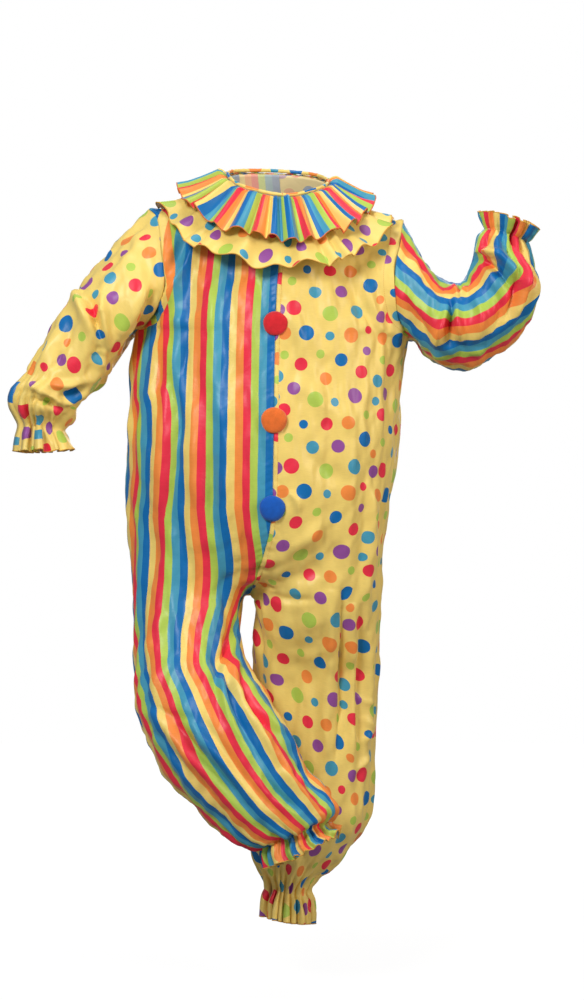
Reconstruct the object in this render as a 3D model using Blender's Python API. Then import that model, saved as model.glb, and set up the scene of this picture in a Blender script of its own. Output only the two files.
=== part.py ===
"""One-piece clown costume as it is worn: striped and dotted satin halves, gathered cuffs, two collar tiers.

Metres, +Z up, the front faces -Y. The wearer's right is -X. The origin is the middle of the neck opening,
where the wearer holds the costume up. Every cloth piece is a closed wall round a mid-surface.
"""
import bpy
import numpy as np
from mathutils.bvhtree import BVHTree


def table(columns, *rows):
    """Rows as a record array, so that a column is read by its name."""
    return np.rec.fromrecords(rows, names=columns)


# Driving sizes
PANEL_WALL = 0.0018
TIER_WALL = 0.0016
SEAM_GAP = 0.0003
ARMHOLE_ROWS = 10
PANEL_COLUMNS = 10
NECK_COLUMNS = 4
BOWED_ROWS = 4
FRILL_FINER = 3
LEG_FRILL_WAVES = 15
SLEEVE_FRILL_WAVES = 15
ARMHOLE_DEPTH = 0.088
ARMHOLE_SHARE = (0.85, 0.6, 0.35, 0.15)
WAVE_STEPS = 4
WELD_PLACES = 6  # decimals of a metre to which points on a seam agree
FRILL_HEIGHT = 0.006
FRILL_ROOT_SHARE = 0.6  # of its waves' height at the elastic

# Centre seam of the body from chest to crotch. leg: 0 is a torso section, 1 a leg section.
CENTRE_SEAM = table(
    "x, z, front_y, back_y, leg",
    (-0.008, -0.290, -0.155, 0.140, 0.00),
    (-0.009, -0.340, -0.158, 0.138, 0.00),
    (-0.010, -0.395, -0.162, 0.134, 0.00),
    (-0.010, -0.450, -0.165, 0.134, 0.00),
    (-0.011, -0.505, -0.166, 0.140, 0.00),
    (-0.012, -0.560, -0.166, 0.150, 0.00),
    (-0.013, -0.615, -0.163, 0.158, 0.00),
    (-0.020, -0.668, -0.158, 0.160, 0.02),
    (-0.032, -0.713, -0.150, 0.158, 0.10),
    (-0.043, -0.746, -0.142, 0.152, 0.28),
    (-0.050, -0.766, -0.137, 0.147, 0.56),
    (-0.055, -0.777, -0.132, 0.142, 1.00),
)

# Side of the body at each of those rows: x, z and half the depth of a leg section there.
SIDE_COLUMNS = "x, z, depth"
SIDES = {
    "right": table(
        SIDE_COLUMNS,
        (-0.264, -0.281, 0.12),
        (-0.279, -0.334, 0.12),
        (-0.284, -0.391, 0.12),
        (-0.286, -0.448, 0.12),
        (-0.288, -0.505, 0.12),
        (-0.288, -0.562, 0.12),
        (-0.287, -0.619, 0.12),
        (-0.285, -0.670, 0.135),
        (-0.282, -0.714, 0.135),
        (-0.281, -0.752, 0.135),
        (-0.281, -0.780, 0.133),
        (-0.280, -0.802, 0.131),
    ),
    "left": table(
        SIDE_COLUMNS,
        (0.243, -0.300, 0.12),
        (0.237, -0.346, 0.12),
        (0.231, -0.398, 0.12),
        (0.229, -0.450, 0.12),
        (0.225, -0.504, 0.12),
        (0.217, -0.559, 0.12),
        (0.208, -0.614, 0.12),
        (0.200, -0.663, 0.135),
        (0.194, -0.708, 0.135),
        (0.190, -0.745, 0.135),
        (0.188, -0.772, 0.133),
        (0.188, -0.792, 0.131),
    ),
}

# Leg sections below the crotch row: inner point, outer point, middle in y, half the depth.
TUBE_COLUMNS = "in_x, in_z, out_x, out_z, mid_y, depth"
CROTCH_Y = 0.010
LEGS = {
    "right": table(
        TUBE_COLUMNS,
        (-0.067, -0.786, -0.280, -0.824, 0.006, 0.129),
        (-0.070, -0.820, -0.279, -0.855, -0.012, 0.126),
        (-0.070, -0.862, -0.276, -0.900, -0.041, 0.120),
        (-0.062, -0.902, -0.271, -0.950, -0.078, 0.112),
        (-0.035, -0.948, -0.258, -1.003, -0.112, 0.106),
        (0.000, -1.001, -0.238, -1.060, -0.136, 0.098),
        (0.034, -1.059, -0.202, -1.122, -0.148, 0.090),
        (0.064, -1.110, -0.154, -1.173, -0.152, 0.084),
        (0.091, -1.146, -0.106, -1.214, -0.153, 0.078),
        (0.103, -1.172, -0.062, -1.240, -0.152, 0.068),
        (0.085, -1.194, -0.029, -1.234, -0.150, 0.046),
    ),
    "left": table(
        TUBE_COLUMNS,
        (-0.045, -0.788, 0.187, -0.808, 0.013, 0.127),
        (-0.049, -0.826, 0.186, -0.834, 0.022, 0.120),
        (-0.053, -0.874, 0.187, -0.876, 0.034, 0.109),
        (-0.051, -0.926, 0.186, -0.926, 0.046, 0.097),
        (-0.046, -0.985, 0.182, -0.985, 0.050, 0.094),
        (-0.044, -1.046, 0.180, -1.046, 0.051, 0.093),
        (-0.046, -1.107, 0.177, -1.107, 0.051, 0.092),
        (-0.052, -1.168, 0.174, -1.168, 0.051, 0.092),
        (-0.058, -1.225, 0.164, -1.222, 0.051, 0.090),
        (-0.057, -1.275, 0.134, -1.272, 0.051, 0.080),
        (-0.025, -1.338, 0.073, -1.340, 0.051, 0.045),
    ),
}
LEG_FRILLS = {
    "right": table(
        TUBE_COLUMNS,
        (0.096, -1.208, -0.029, -1.257, -0.150, 0.055),
        (0.112, -1.212, -0.024, -1.278, -0.150, 0.064),
    ),
    "left": table(
        TUBE_COLUMNS,
        (-0.033, -1.366, 0.075, -1.372, 0.051, 0.055),
        (-0.037, -1.398, 0.074, -1.412, 0.051, 0.062),
    ),
}

# Centre front and back above the chest row, up to the neck.
CHEST = table(
    "x, front_z, front_y, back_z, back_y",
    (-0.005, -0.215, -0.148, -0.200, 0.142),
    (0.000, -0.140, -0.124, -0.110, 0.130),
    (0.003, -0.080, -0.099, -0.040, 0.104),
)

# Middle of each shoulder seam, which hollows between the neck and the shoulder tip: x, y, z.
SHOULDERS = {"right": (-0.165, 0.0, -0.043), "left": (0.150, 0.0, -0.061)}

# Armholes from the armpit to the shoulder tip: x, z, front y, back y.
ARMHOLE_COLUMNS = "x, z, front_y, back_y"
ARMHOLES = {
    "right": table(
        ARMHOLE_COLUMNS,
        (-0.264, -0.281, 0.000, 0.000),
        (-0.252, -0.271, -0.042, 0.042),
        (-0.231, -0.246, -0.076, 0.070),
        (-0.216, -0.208, -0.092, 0.084),
        (-0.216, -0.172, -0.091, 0.086),
        (-0.221, -0.134, -0.079, 0.078),
        (-0.226, -0.097, -0.056, 0.058),
        (-0.234, -0.066, -0.030, 0.032),
        (-0.249, -0.050, 0.000, 0.000),
    ),
    "left": table(
        ARMHOLE_COLUMNS,
        (0.243, -0.300, 0.000, 0.000),
        (0.236, -0.291, -0.038, 0.034),
        (0.227, -0.274, -0.060, 0.054),
        (0.219, -0.245, -0.080, 0.073),
        (0.215, -0.203, -0.090, 0.084),
        (0.217, -0.160, -0.081, 0.080),
        (0.226, -0.122, -0.058, 0.058),
        (0.230, -0.095, -0.032, 0.032),
        (0.234, -0.073, 0.000, 0.000),
    ),
}

# Sleeve sections: under point, outer point, middle in y, half the depth.
SLEEVES = {
    "right": table(
        TUBE_COLUMNS,
        (-0.283, -0.284, -0.284, -0.083, 0.001, 0.097),
        (-0.290, -0.296, -0.321, -0.124, -0.007, 0.100),
        (-0.297, -0.315, -0.357, -0.168, -0.014, 0.097),
        (-0.306, -0.336, -0.390, -0.214, -0.021, 0.092),
        (-0.320, -0.358, -0.421, -0.263, -0.027, 0.087),
        (-0.336, -0.386, -0.451, -0.313, -0.032, 0.082),
        (-0.355, -0.411, -0.480, -0.360, -0.036, 0.078),
        (-0.374, -0.433, -0.503, -0.396, -0.039, 0.073),
        (-0.382, -0.450, -0.507, -0.420, -0.040, 0.064),
        (-0.407, -0.470, -0.486, -0.457, -0.040, 0.034),
    ),
    "left": table(
        TUBE_COLUMNS,
        (0.260, -0.306, 0.253, -0.114, -0.004, 0.098),
        (0.288, -0.332, 0.278, -0.156, -0.012, 0.098),
        (0.333, -0.356, 0.305, -0.186, -0.024, 0.095),
        (0.381, -0.349, 0.331, -0.197, -0.033, 0.090),
        (0.426, -0.318, 0.351, -0.190, -0.041, 0.085),
        (0.463, -0.272, 0.365, -0.168, -0.046, 0.080),
        (0.486, -0.220, 0.371, -0.147, -0.050, 0.074),
        (0.487, -0.178, 0.371, -0.127, -0.050, 0.066),
        (0.478, -0.147, 0.377, -0.111, -0.050, 0.056),
        (0.460, -0.117, 0.394, -0.096, -0.050, 0.034),
    ),
}
SLEEVE_FRILLS = {
    "right": table(
        TUBE_COLUMNS,
        (-0.396, -0.490, -0.494, -0.484, -0.040, 0.042),
        (-0.387, -0.508, -0.500, -0.512, -0.040, 0.050),
    ),
    "left": table(
        TUBE_COLUMNS,
        (0.475, -0.104, 0.385, -0.077, -0.050, 0.042),
        (0.488, -0.086, 0.376, -0.058, -0.050, 0.050),
    ),
}

# Neck and collar by compass point round the neck: 0 is the front, 90 the wearer's left. Sag: how far
# the lower tier lies in from the straight line between its two edges.
COLLAR = table(
    "angle, neck_x, neck_y, neck_z, upper_x, upper_y, upper_z, "
    "lower_x, lower_y, lower_z, sag",
    (0, 0.006, -0.088, -0.037, 0.015, -0.154, -0.131, 0.015, -0.172, -0.176, 0.005),
    (45, 0.068, -0.062, -0.024, 0.125, -0.112, -0.102, 0.152, -0.132, -0.144, 0.007),
    (90, 0.093, 0.000, -0.002, 0.172, -0.003, -0.045, 0.213, -0.005, -0.070, 0.009),
    (135, 0.068, 0.058, 0.018, 0.122, 0.104, -0.044, 0.150, 0.130, -0.098, 0.008),
    (180, -0.002, 0.082, 0.028, -0.004, 0.146, -0.048, -0.006, 0.168, -0.110, 0.007),
    (225, -0.074, 0.058, 0.026, -0.136, 0.104, -0.026, -0.166, 0.130, -0.080, 0.008),
    (270, -0.101, 0.000, 0.013, -0.188, -0.003, -0.022, -0.226, -0.005, -0.047, 0.009),
    (315, -0.072, -0.062, -0.017, -0.128, -0.112, -0.090, -0.146, -0.134, -0.138, 0.007),
)
TIER_ROWS = (0.0, 0.08, 0.30, 0.64, 1.0)
TIERS = table(
    "name, kind, waves, height, growth, layer, sag_share, slot",
    ("collar_tier_upper", "upper", 36, 0.010, 0.75, 0, 0.25, "striped"),
    ("collar_tier_lower", "lower", 24, 0.012, 1.0, 1, 1.0, "dotted"),
)
BODY_LAYER = 2
LAYER_STEP = 0.0024
BAND_HEIGHT = 0.006
BAND_WALL = 0.005
BAND_CLEAR = 0.0010
BAND_SIDES = 40

# Large soft folds, front seen from the front: start and end in x and z, width, height, face.
FRONT, BACK = -1, 1
FOLD_END = 0.1  # how far into a half wave a fold starts and ends, so that its ends are low
FOLD_REACH = 1.5  # how far a fold holds its height as the cloth turns away round the side
FOLDS = table(
    "x0, z0, x1, z1, width, height, face",
    (-0.222, -0.225, -0.150, -0.420, 0.035, 0.011, FRONT),
    (0.222, -0.235, 0.150, -0.440, 0.035, 0.011, FRONT),
    (-0.215, -0.470, -0.190, -0.740, 0.040, 0.010, FRONT),
    (0.140, -0.480, 0.120, -0.740, 0.040, 0.010, FRONT),
    (-0.130, -0.560, -0.140, -0.800, 0.035, -0.010, FRONT),
    (-0.110, -0.860, -0.060, -1.010, 0.032, 0.011, FRONT),
    (-0.180, -0.900, -0.060, -1.090, 0.032, -0.011, FRONT),
    (-0.200, -0.930, -0.090, -1.150, 0.030, 0.010, FRONT),
    (0.115, -0.800, 0.120, -1.180, 0.030, 0.011, FRONT),
    (0.060, -0.830, 0.070, -1.200, 0.034, -0.011, FRONT),
    (-0.200, -0.240, -0.090, -0.430, 0.040, 0.011, BACK),
    (0.190, -0.250, 0.080, -0.440, 0.040, 0.011, BACK),
    (-0.120, -0.420, -0.130, -0.700, 0.045, -0.011, BACK),
    (0.110, -0.420, 0.110, -0.700, 0.045, -0.011, BACK),
    (-0.180, -0.820, -0.120, -1.000, 0.035, 0.011, BACK),
    (0.070, -0.820, 0.080, -1.180, 0.035, 0.011, BACK),
    (-0.330, -0.320, -0.400, -0.240, 0.030, -0.011, FRONT),
    (-0.340, -0.250, -0.420, -0.380, 0.030, 0.010, FRONT),
    (0.325, -0.255, 0.352, -0.330, 0.026, -0.014, FRONT),
    (0.390, -0.215, 0.420, -0.300, 0.028, 0.011, FRONT),
    (-0.330, -0.320, -0.390, -0.250, 0.030, -0.011, BACK),
    (0.340, -0.240, 0.370, -0.330, 0.028, -0.011, BACK),
)

# Covered buttons: height on the centre front, radius, dome height.
BUTTONS = table(
    "name, z, radius, dome",
    ("button_top", -0.277, 0.0225, 0.010),
    ("button_middle", -0.456, 0.0240, 0.010),
    ("button_bottom", -0.618, 0.0240, 0.010),
)
BUTTON_SIDES = 16
BUTTON_GAP = 0.0005
# Rings of the dome from its back: share of the radius, share of the height.
BUTTON_PROFILE = table("size, rise", (0.94, 0.0), (1.0, 0.2), (0.98, 0.5), (0.8, 0.82), (0.45, 0.97))

SATIN_ROUGHNESS = 0.45
COLOURS = {
    "striped": (0.90, 0.30, 0.20),
    "dotted": (0.90, 0.72, 0.25),
    "button_top": (0.75, 0.02, 0.05),
    "button_middle": (0.90, 0.25, 0.04),
    "button_bottom": (0.01, 0.10, 0.45),
}


# Curves through table rows

def slopes(places, values):
    """Tangent at each row: the slope through its two neighbours, or along the first or last stretch."""
    steps = np.diff(values, axis=0) / np.diff(places)[:, None]
    return np.vstack([steps[:1], (steps[1:] + steps[:-1]) / 2, steps[-1:]])


def smooth(places, values, where):
    """A cubic curve through the rows, read at the given places."""
    places = np.asarray(places, float)
    values = np.asarray(values, float)
    where = np.atleast_1d(np.asarray(where, float))
    tangent = slopes(places, values)
    index = np.clip(np.searchsorted(places, where, side="right") - 1, 0, len(places) - 2)
    span = (places[index + 1] - places[index])[:, None]
    t = ((where - places[index])[:, None]) / span
    start, end = values[index], values[index + 1]
    return (start * (1 + 2 * t) * (1 - t) ** 2 + end * t * t * (3 - 2 * t)
            + span * (tangent[index] * t * (1 - t) ** 2 - tangent[index + 1] * t * t * (1 - t)))


def smooth_ring(angles, values, where):
    """The same round a closed ring, with angles in degrees."""
    angles = np.asarray(angles, float)
    values = np.asarray(values, float)
    places = np.concatenate([angles - 360, angles, angles + 360])
    return smooth(places, np.vstack([values] * 3), np.mod(where, 360))


def even(values, count):
    """Evenly spaced points along the curve through the rows."""
    values = np.asarray(values, float)
    places = np.concatenate([[0], np.cumsum(np.linalg.norm(np.diff(values[:, :3], axis=0), axis=1))])
    return smooth(places, values, np.linspace(0, places[-1], count))


# Sections

def ring(u, in_x, in_z, out_x, out_z, mid_y, depth):
    """An oval tube section. u is 0 at the inner point, 0.25 at the front, 0.5 at the outer point."""
    across = np.sin(np.pi * u) ** 2
    return np.stack([in_x + (out_x - in_x) * across,
                     mid_y - depth * np.sin(2 * np.pi * u),
                     in_z + (out_z - in_z) * across], axis=-1)


def body_row(u, centre, side):
    """A half section from centre front round to centre back, drawn towards a leg ring by its share."""
    leg = centre.leg
    bow = np.sin(np.pi * u)
    torso_y = np.where(u < 0.5, centre.front_y, centre.back_y) * np.abs(np.cos(np.pi * u))
    leg_y = CROTCH_Y - side.depth * np.sin(2 * np.pi * u)
    return np.stack([centre.x + (side.x - centre.x) * ((1 - leg) * bow + leg * bow ** 2),
                     (1 - leg) * torso_y + leg * leg_y,
                     centre.z + (side.z - centre.z) * bow ** 2], axis=-1)


def body_rows(side, u):
    """Torso rows then leg rows of one half, as an array of rows, columns and x, y, z."""
    torso = [body_row(u, centre, edge) for centre, edge in zip(CENTRE_SEAM, SIDES[side])]
    legs = [ring(u, *row) for row in LEGS[side]]
    return np.array(torso + legs)


def collar_ring(angle, kind):
    """Points of the neck, upper edge or lower edge ring at the given angles."""
    points = np.stack([COLLAR[f"{kind}_{axis}"] for axis in "xyz"], axis=1)
    return smooth_ring(COLLAR.angle, points, angle)


def from_neck(points):
    """Level directions of length 1, away from the middle of the neck opening."""
    away = points[:, :2] - [COLLAR.neck_x.mean(), COLLAR.neck_y.mean()]
    away /= np.linalg.norm(away, axis=1)[:, None]
    return np.hstack([away, np.zeros((len(away), 1))])


def layered(points, layer):
    """The neck ring moved in and down by whole layers, so that what is gathered there lies in order."""
    way = -(from_neck(points) + [0, 0, 1]) / np.sqrt(2)
    return points + way * LAYER_STEP * layer


def neckline(side, face, count):
    """The body's neck edge from the centre to the shoulder, under the collar's gathers."""
    centre = {("right", FRONT): 360, ("left", FRONT): 0}.get((side, face), 180)
    shoulder = 270 if side == "right" else 90
    return layered(collar_ring(np.linspace(centre, shoulder, count), "neck"), BODY_LAYER)


def armhole(side, face):
    """The armhole edge from the armpit to the shoulder tip."""
    edge = ARMHOLES[side]
    y = edge.front_y if face == FRONT else edge.back_y
    return even(np.stack([edge.x, y, edge.z], axis=1), ARMHOLE_ROWS + 1)


def arc(start, end, bow):
    """Rows of points from the centre line to the armhole. Bow 1 is a quarter oval, 0 a shallow curve."""
    across = np.linspace(0, 1, PANEL_COLUMNS + 1)
    turn = across * np.pi / 2
    shares = [bow * np.sin(turn) + (1 - bow) * across,
              bow * (1 - np.cos(turn)) + (1 - bow) * across ** 2,
              bow * np.sin(turn) ** 2 + (1 - bow) * across]
    return start + (end - start) * np.stack(shares, axis=1)


def yoke(side, face, chest_row):
    """The panel above the chest row: arcs that flatten upwards and take on the neck and shoulder line.

    Rows rise from the chest row, which is left out. Columns run from the centre to the armhole.
    """
    y, z = (CHEST.front_y, CHEST.front_z) if face == FRONT else (CHEST.back_y, CHEST.back_z)
    neck = neckline(side, face, NECK_COLUMNS + 1)
    arm = armhole(side, face)
    chest = np.stack([CHEST.x, y, z], axis=1)
    centre = even(np.vstack([chest_row[0], chest, neck[0]]), ARMHOLE_ROWS + 1)
    shoulder = even([neck[-1], SHOULDERS[side], arm[-1]], PANEL_COLUMNS - NECK_COLUMNS + 1)
    top = np.vstack([neck[:-1], shoulder])
    turned = top - arc(centre[-1], arm[-1], 0)
    rows = []
    for k in range(1, ARMHOLE_ROWS + 1):
        t = min(k / BOWED_ROWS, 1)
        bow = 1 - t * t * (3 - 2 * t)
        rows.append(arc(centre[k], arm[k], bow) + turned * (k / ARMHOLE_ROWS) ** 2)
    return np.array(rows)


# Mesh pieces

class Sheet:
    """Points and triangles of one cloth piece's mid-surface, facing out of the garment."""

    def __init__(self, name, slot, wall, turned=False):
        self.name = name
        self.slot = slot
        self.wall = wall
        self.turned = turned
        self.points = np.zeros((0, 3))
        self.faces = []

    def grid(self, rows, closed=False):
        """Adds rows of equal length and returns their point numbers."""
        start = len(self.points)
        self.points = np.vstack([self.points, rows.reshape(-1, 3)])
        numbers = np.arange(start, len(self.points)).reshape(rows.shape[:2])
        if closed:
            numbers = np.hstack([numbers, numbers[:, :1]])
        for upper, lower in zip(numbers[:-1], numbers[1:]):
            for a, b, c, d in zip(upper[:-1], upper[1:], lower[1:], lower[:-1]):
                self.add(a, b, c)
                self.add(a, c, d)
        return numbers

    def widen(self, coarse, fine, times):
        """Joins a row to one with several times its cells."""
        half = times // 2
        for k, (a, b) in enumerate(zip(coarse[:-1], coarse[1:])):
            row = fine[k * times:(k + 1) * times + 1]
            for j in range(times):
                self.add(a if j <= half else b, row[j + 1], row[j])
            self.add(a, b, row[half + 1])

    def add(self, a, b, c):
        self.faces.append((a, c, b) if self.turned else (a, b, c))


def shared_normals(sheets):
    """Normals of the whole garment's surface, the same on both sides of each seam."""
    points = np.vstack([sheet.points for sheet in sheets])
    starts = np.cumsum([0] + [len(sheet.points) for sheet in sheets])
    faces = np.vstack([np.array(sheet.faces) + start for sheet, start in zip(sheets, starts)])
    _, first, same = np.unique(np.round(points, WELD_PLACES), axis=0,
                               return_index=True, return_inverse=True)
    same = same.reshape(-1)
    corners = points[faces]
    normal = np.cross(corners[:, 1] - corners[:, 0], corners[:, 2] - corners[:, 0])
    normal /= np.linalg.norm(normal, axis=1)[:, None]
    total = np.zeros((len(first), 3))
    for k in range(3):
        one = corners[:, (k + 1) % 3] - corners[:, k]
        other = corners[:, (k + 2) % 3] - corners[:, k]
        cosine = (one * other).sum(axis=1) / np.linalg.norm(one, axis=1) / np.linalg.norm(other, axis=1)
        np.add.at(total, same[faces[:, k]], normal * np.arccos(np.clip(cosine, -1, 1))[:, None])
    total /= np.linalg.norm(total, axis=1)[:, None] + 1e-12
    return [total[same[start:start + len(sheet.points)]] for sheet, start in zip(sheets, starts)]


def open_edges(faces):
    """The edges that only one triangle has, each in its direction."""
    ends = np.concatenate([faces[:, [0, 1]], faces[:, [1, 2]], faces[:, [2, 0]]])
    _, index, count = np.unique(np.sort(ends, axis=1), axis=0, return_inverse=True, return_counts=True)
    return ends[count[index.reshape(-1)] == 1]


def drawn_in(points, faces):
    """Moves the open edges in along the cloth by half a seam gap."""
    edges = {tuple(sorted(edge)) for edge in open_edges(faces).tolist()}
    inwards = {}
    for a, b, c in faces.tolist():
        for p, q, r in ((a, b, c), (b, c, a), (c, a, b)):
            if tuple(sorted((p, q))) not in edges:
                continue
            along = points[q] - points[p]
            along /= np.linalg.norm(along)
            inward = points[r] - points[p]
            inward -= along * (inward @ along)
            inward /= np.linalg.norm(inward)
            inwards.setdefault(p, []).append(inward)
            inwards.setdefault(q, []).append(inward)
    moved = points.copy()
    for point, (one, other) in inwards.items():
        lean = 1 + max(one @ other, 0.0)
        moved[point] += (one + other) / lean * SEAM_GAP / 2
    return moved


def thicken(name, points, faces, normals, wall):
    """A closed wall of even thickness round the mid-surface, made as a Blender object."""
    faces = np.asarray(faces)
    count = len(points)
    both = np.vstack([points + normals * wall / 2, points - normals * wall / 2])
    rim = [face for a, b in open_edges(faces) for face in ((b, a, a + count), (b, a + count, b + count))]
    solid = np.vstack([faces, faces[:, ::-1] + count, rim])
    corners = both[solid]
    if np.linalg.det(corners).sum() < 0:
        solid = solid[:, ::-1]
    return make_object(name, both, solid)


def make_object(name, points, faces):
    mesh = bpy.data.meshes.new(name)
    mesh.from_pydata(np.asarray(points).tolist(), [], np.asarray(faces).tolist())
    mesh.update()
    made = bpy.data.objects.new(name, mesh)
    bpy.context.scene.collection.objects.link(made)
    return made


def paint(made, slot):
    material = bpy.data.materials.get(slot) or bpy.data.materials.new(slot)
    material.use_nodes = True
    shader = material.node_tree.nodes["Principled BSDF"]
    shader.inputs["Base Color"].default_value = (*COLOURS[slot], 1)
    shader.inputs["Roughness"].default_value = SATIN_ROUGHNESS
    made.data.materials.append(material)


# The costume's pieces

def body_panel(side, face):
    """Front or back of one half, from the shoulder down to the ankle frill."""
    name = f"body_{'front' if face == FRONT else 'back'}_{side}"
    slot = "striped" if side == "right" else "dotted"
    sheet = Sheet(name, slot, PANEL_WALL, turned=(side == "left") == (face == FRONT))
    half = np.linspace(0, 0.5, PANEL_COLUMNS + 1)
    u = half if face == FRONT else 1 - half
    rows = body_rows(side, u)
    numbers = sheet.grid(np.vstack([yoke(side, face, rows[0])[::-1], rows]))
    fine = np.linspace(u[0], u[-1], PANEL_COLUMNS * FRILL_FINER + 1)
    low = sheet.grid(frill(LEG_FRILLS[side], fine, LEG_FRILL_WAVES))
    sheet.widen(numbers[-1], low[0], FRILL_FINER)
    return sheet


def sleeve(side):
    """One tube from the armhole to the cuff frill."""
    slot = "dotted" if side == "right" else "striped"
    sheet = Sheet(f"sleeve_{side}", slot, PANEL_WALL, turned=side == "left")
    columns = 2 * ARMHOLE_ROWS
    u = np.arange(columns) / columns
    loop = np.vstack([armhole(side, FRONT), armhole(side, BACK)[-2:0:-1]])
    pit, tip = loop[0], loop[ARMHOLE_ROWS]
    shape = loop - ring(u, pit[0], pit[2], tip[0], tip[2], 0, ARMHOLE_DEPTH)
    rows = np.array([loop] + [ring(u, *row) for row in SLEEVES[side]])
    for k, share in enumerate(ARMHOLE_SHARE, start=1):
        rows[k] += shape * share
    numbers = sheet.grid(rows, closed=True)
    fine = np.arange(columns * FRILL_FINER) / (columns * FRILL_FINER)
    low = sheet.grid(frill(SLEEVE_FRILLS[side], fine, SLEEVE_FRILL_WAVES), closed=True)
    sheet.widen(numbers[-1], low[0], FRILL_FINER)
    return sheet


def frill(sections, u, waves):
    """Rows beyond the elastic, pushed in and out from the middle of their section in even waves."""
    rows = np.array([ring(u, *row) for row in sections])
    middle = np.stack([(sections.in_x + sections.out_x) / 2, sections.mid_y,
                       (sections.in_z + sections.out_z) / 2], axis=1)[:, None]
    outward = rows - middle
    outward /= np.linalg.norm(outward, axis=2, keepdims=True)
    height = FRILL_HEIGHT * np.linspace(FRILL_ROOT_SHARE, 1, len(sections))[:, None, None]
    return rows + outward * height * np.cos(2 * np.pi * waves * u)[None, :, None]


def collar_tier(name, kind, waves, height, growth, layer, sag_share, slot):
    """A gathered ring from the neck to its edge. Its waves rise from a smooth under-surface."""
    sheet = Sheet(name, slot, TIER_WALL)
    angle = np.arange(waves * WAVE_STEPS) * 360 / (waves * WAVE_STEPS)
    root = layered(collar_ring(angle, "neck"), layer)
    fall = collar_ring(angle, kind) - root
    sag = smooth_ring(COLLAR.angle, COLLAR.sag[:, None], angle) * sag_share
    around = np.roll(root, -1, axis=0) - np.roll(root, 1, axis=0)
    up = np.cross(around, fall)
    up *= np.sign(up[:, 2:]) / np.linalg.norm(up, axis=1)[:, None]
    wave = (0.5 - 0.5 * np.cos(np.radians(angle) * waves))[:, None] * height
    rows = [root + fall * r + up * (wave * r ** growth - sag * 4 * r * (1 - r)) for r in TIER_ROWS]
    sheet.grid(np.array(rows), closed=True)
    return sheet


def neckband():
    """The binding that covers the gathers: a ring of square section."""
    angle = np.arange(BAND_SIDES) * 360 / BAND_SIDES
    middle = layered(collar_ring(angle, "neck"), 1)
    outward = from_neck(middle) * BAND_WALL / 2
    low = np.array([0, 0, LAYER_STEP + BAND_CLEAR])
    high = low + [0, 0, BAND_HEIGHT]
    rows = np.array([middle + outward + low, middle + outward + high,
                     middle - outward + high, middle - outward + low])
    sheet = Sheet("neckband", "dotted", 0)
    sheet.grid(np.concatenate([rows, rows[:1]]), closed=True)
    return sheet


def folded(sheets):
    """Every sheet's points moved along the garment's normals by the large folds."""
    for sheet, normals in zip(sheets, shared_normals(sheets)):
        lift = np.zeros(len(sheet.points))
        flat = sheet.points[:, [0, 2]]
        for x0, z0, x1, z1, width, height, face in FOLDS:
            start, way = np.array([x0, z0]), np.array([x1 - x0, z1 - z0])
            along = np.clip((flat - start) @ way / (way @ way), 0, 1)
            away = np.linalg.norm(flat - start - along[:, None] * way, axis=1)
            turned = np.clip(face * normals[:, 1] * FOLD_REACH, 0, 1)
            rise = np.sin(np.pi * (FOLD_END + (1 - 2 * FOLD_END) * along))
            lift += height * np.exp(-(away / width) ** 2) * rise * turned
        sheet.points = sheet.points + normals * lift[:, None]


def button(name, z, radius, dome, cloth):
    """A covered dome whose back follows the cloth at the centre front."""
    x = np.interp(-z, -CENTRE_SEAM.z, CENTRE_SEAM.x)

    def back(across, height):
        """Where the button's back lies: just off the cloth that is met from one metre in front."""
        hit = cloth.ray_cast((across, -1, height), (0, 1, 0))[0]
        return hit.y - PANEL_WALL / 2 - BUTTON_GAP

    turn = np.arange(BUTTON_SIDES) * 2 * np.pi / BUTTON_SIDES
    heel = np.array([x, back(x, z), z])
    rings = []
    for size, rise in BUTTON_PROFILE:
        across = x + radius * size * np.cos(turn)
        height = z + radius * size * np.sin(turn)
        low = np.array([back(*place) for place in zip(across, height)])
        y = low * (1 - rise) + (heel[1] - dome * rise) * rise - dome * rise * (1 - rise)
        rings.append(np.stack([across, y, height], axis=1))
    sheet = Sheet(name, name, 0)
    numbers = sheet.grid(np.array(rings), closed=True)
    sheet.points = np.vstack([sheet.points, heel, heel - [0, dome, 0]])
    last = len(sheet.points) - 1
    for a, b in zip(numbers[0][:-1], numbers[0][1:]):
        sheet.add(b, a, last - 1)
    for a, b in zip(numbers[-1][:-1], numbers[-1][1:]):
        sheet.add(a, b, last)
    return sheet


def build():
    for old in list(bpy.data.objects):
        bpy.data.objects.remove(old)
    fronts = [body_panel(side, FRONT) for side in ("right", "left")]
    backs = [body_panel(side, BACK) for side in ("right", "left")]
    sheets = fronts + backs + [sleeve("right"), sleeve("left")]
    folded(sheets)
    walls = list(zip(sheets, shared_normals(sheets)))
    starts = (0, len(fronts[0].points))
    cloth = BVHTree.FromPolygons(
        np.vstack([sheet.points for sheet in fronts]).tolist(),
        np.vstack([np.array(sheet.faces) + start for sheet, start in zip(fronts, starts)]).tolist())
    tiers = [collar_tier(*row) for row in TIERS]
    walls += [(tier, shared_normals([tier])[0]) for tier in tiers]
    for sheet, normals in walls:
        faces = np.array(sheet.faces)
        made = thicken(sheet.name, drawn_in(sheet.points, faces), faces, normals, sheet.wall)
        paint(made, sheet.slot)
    for sheet in [neckband()] + [button(*row, cloth) for row in BUTTONS]:
        faces = np.array(sheet.faces)
        if np.linalg.det(sheet.points[faces]).sum() < 0:
            faces = faces[:, ::-1]
        paint(make_object(sheet.name, sheet.points, faces), sheet.slot)


build()
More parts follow.
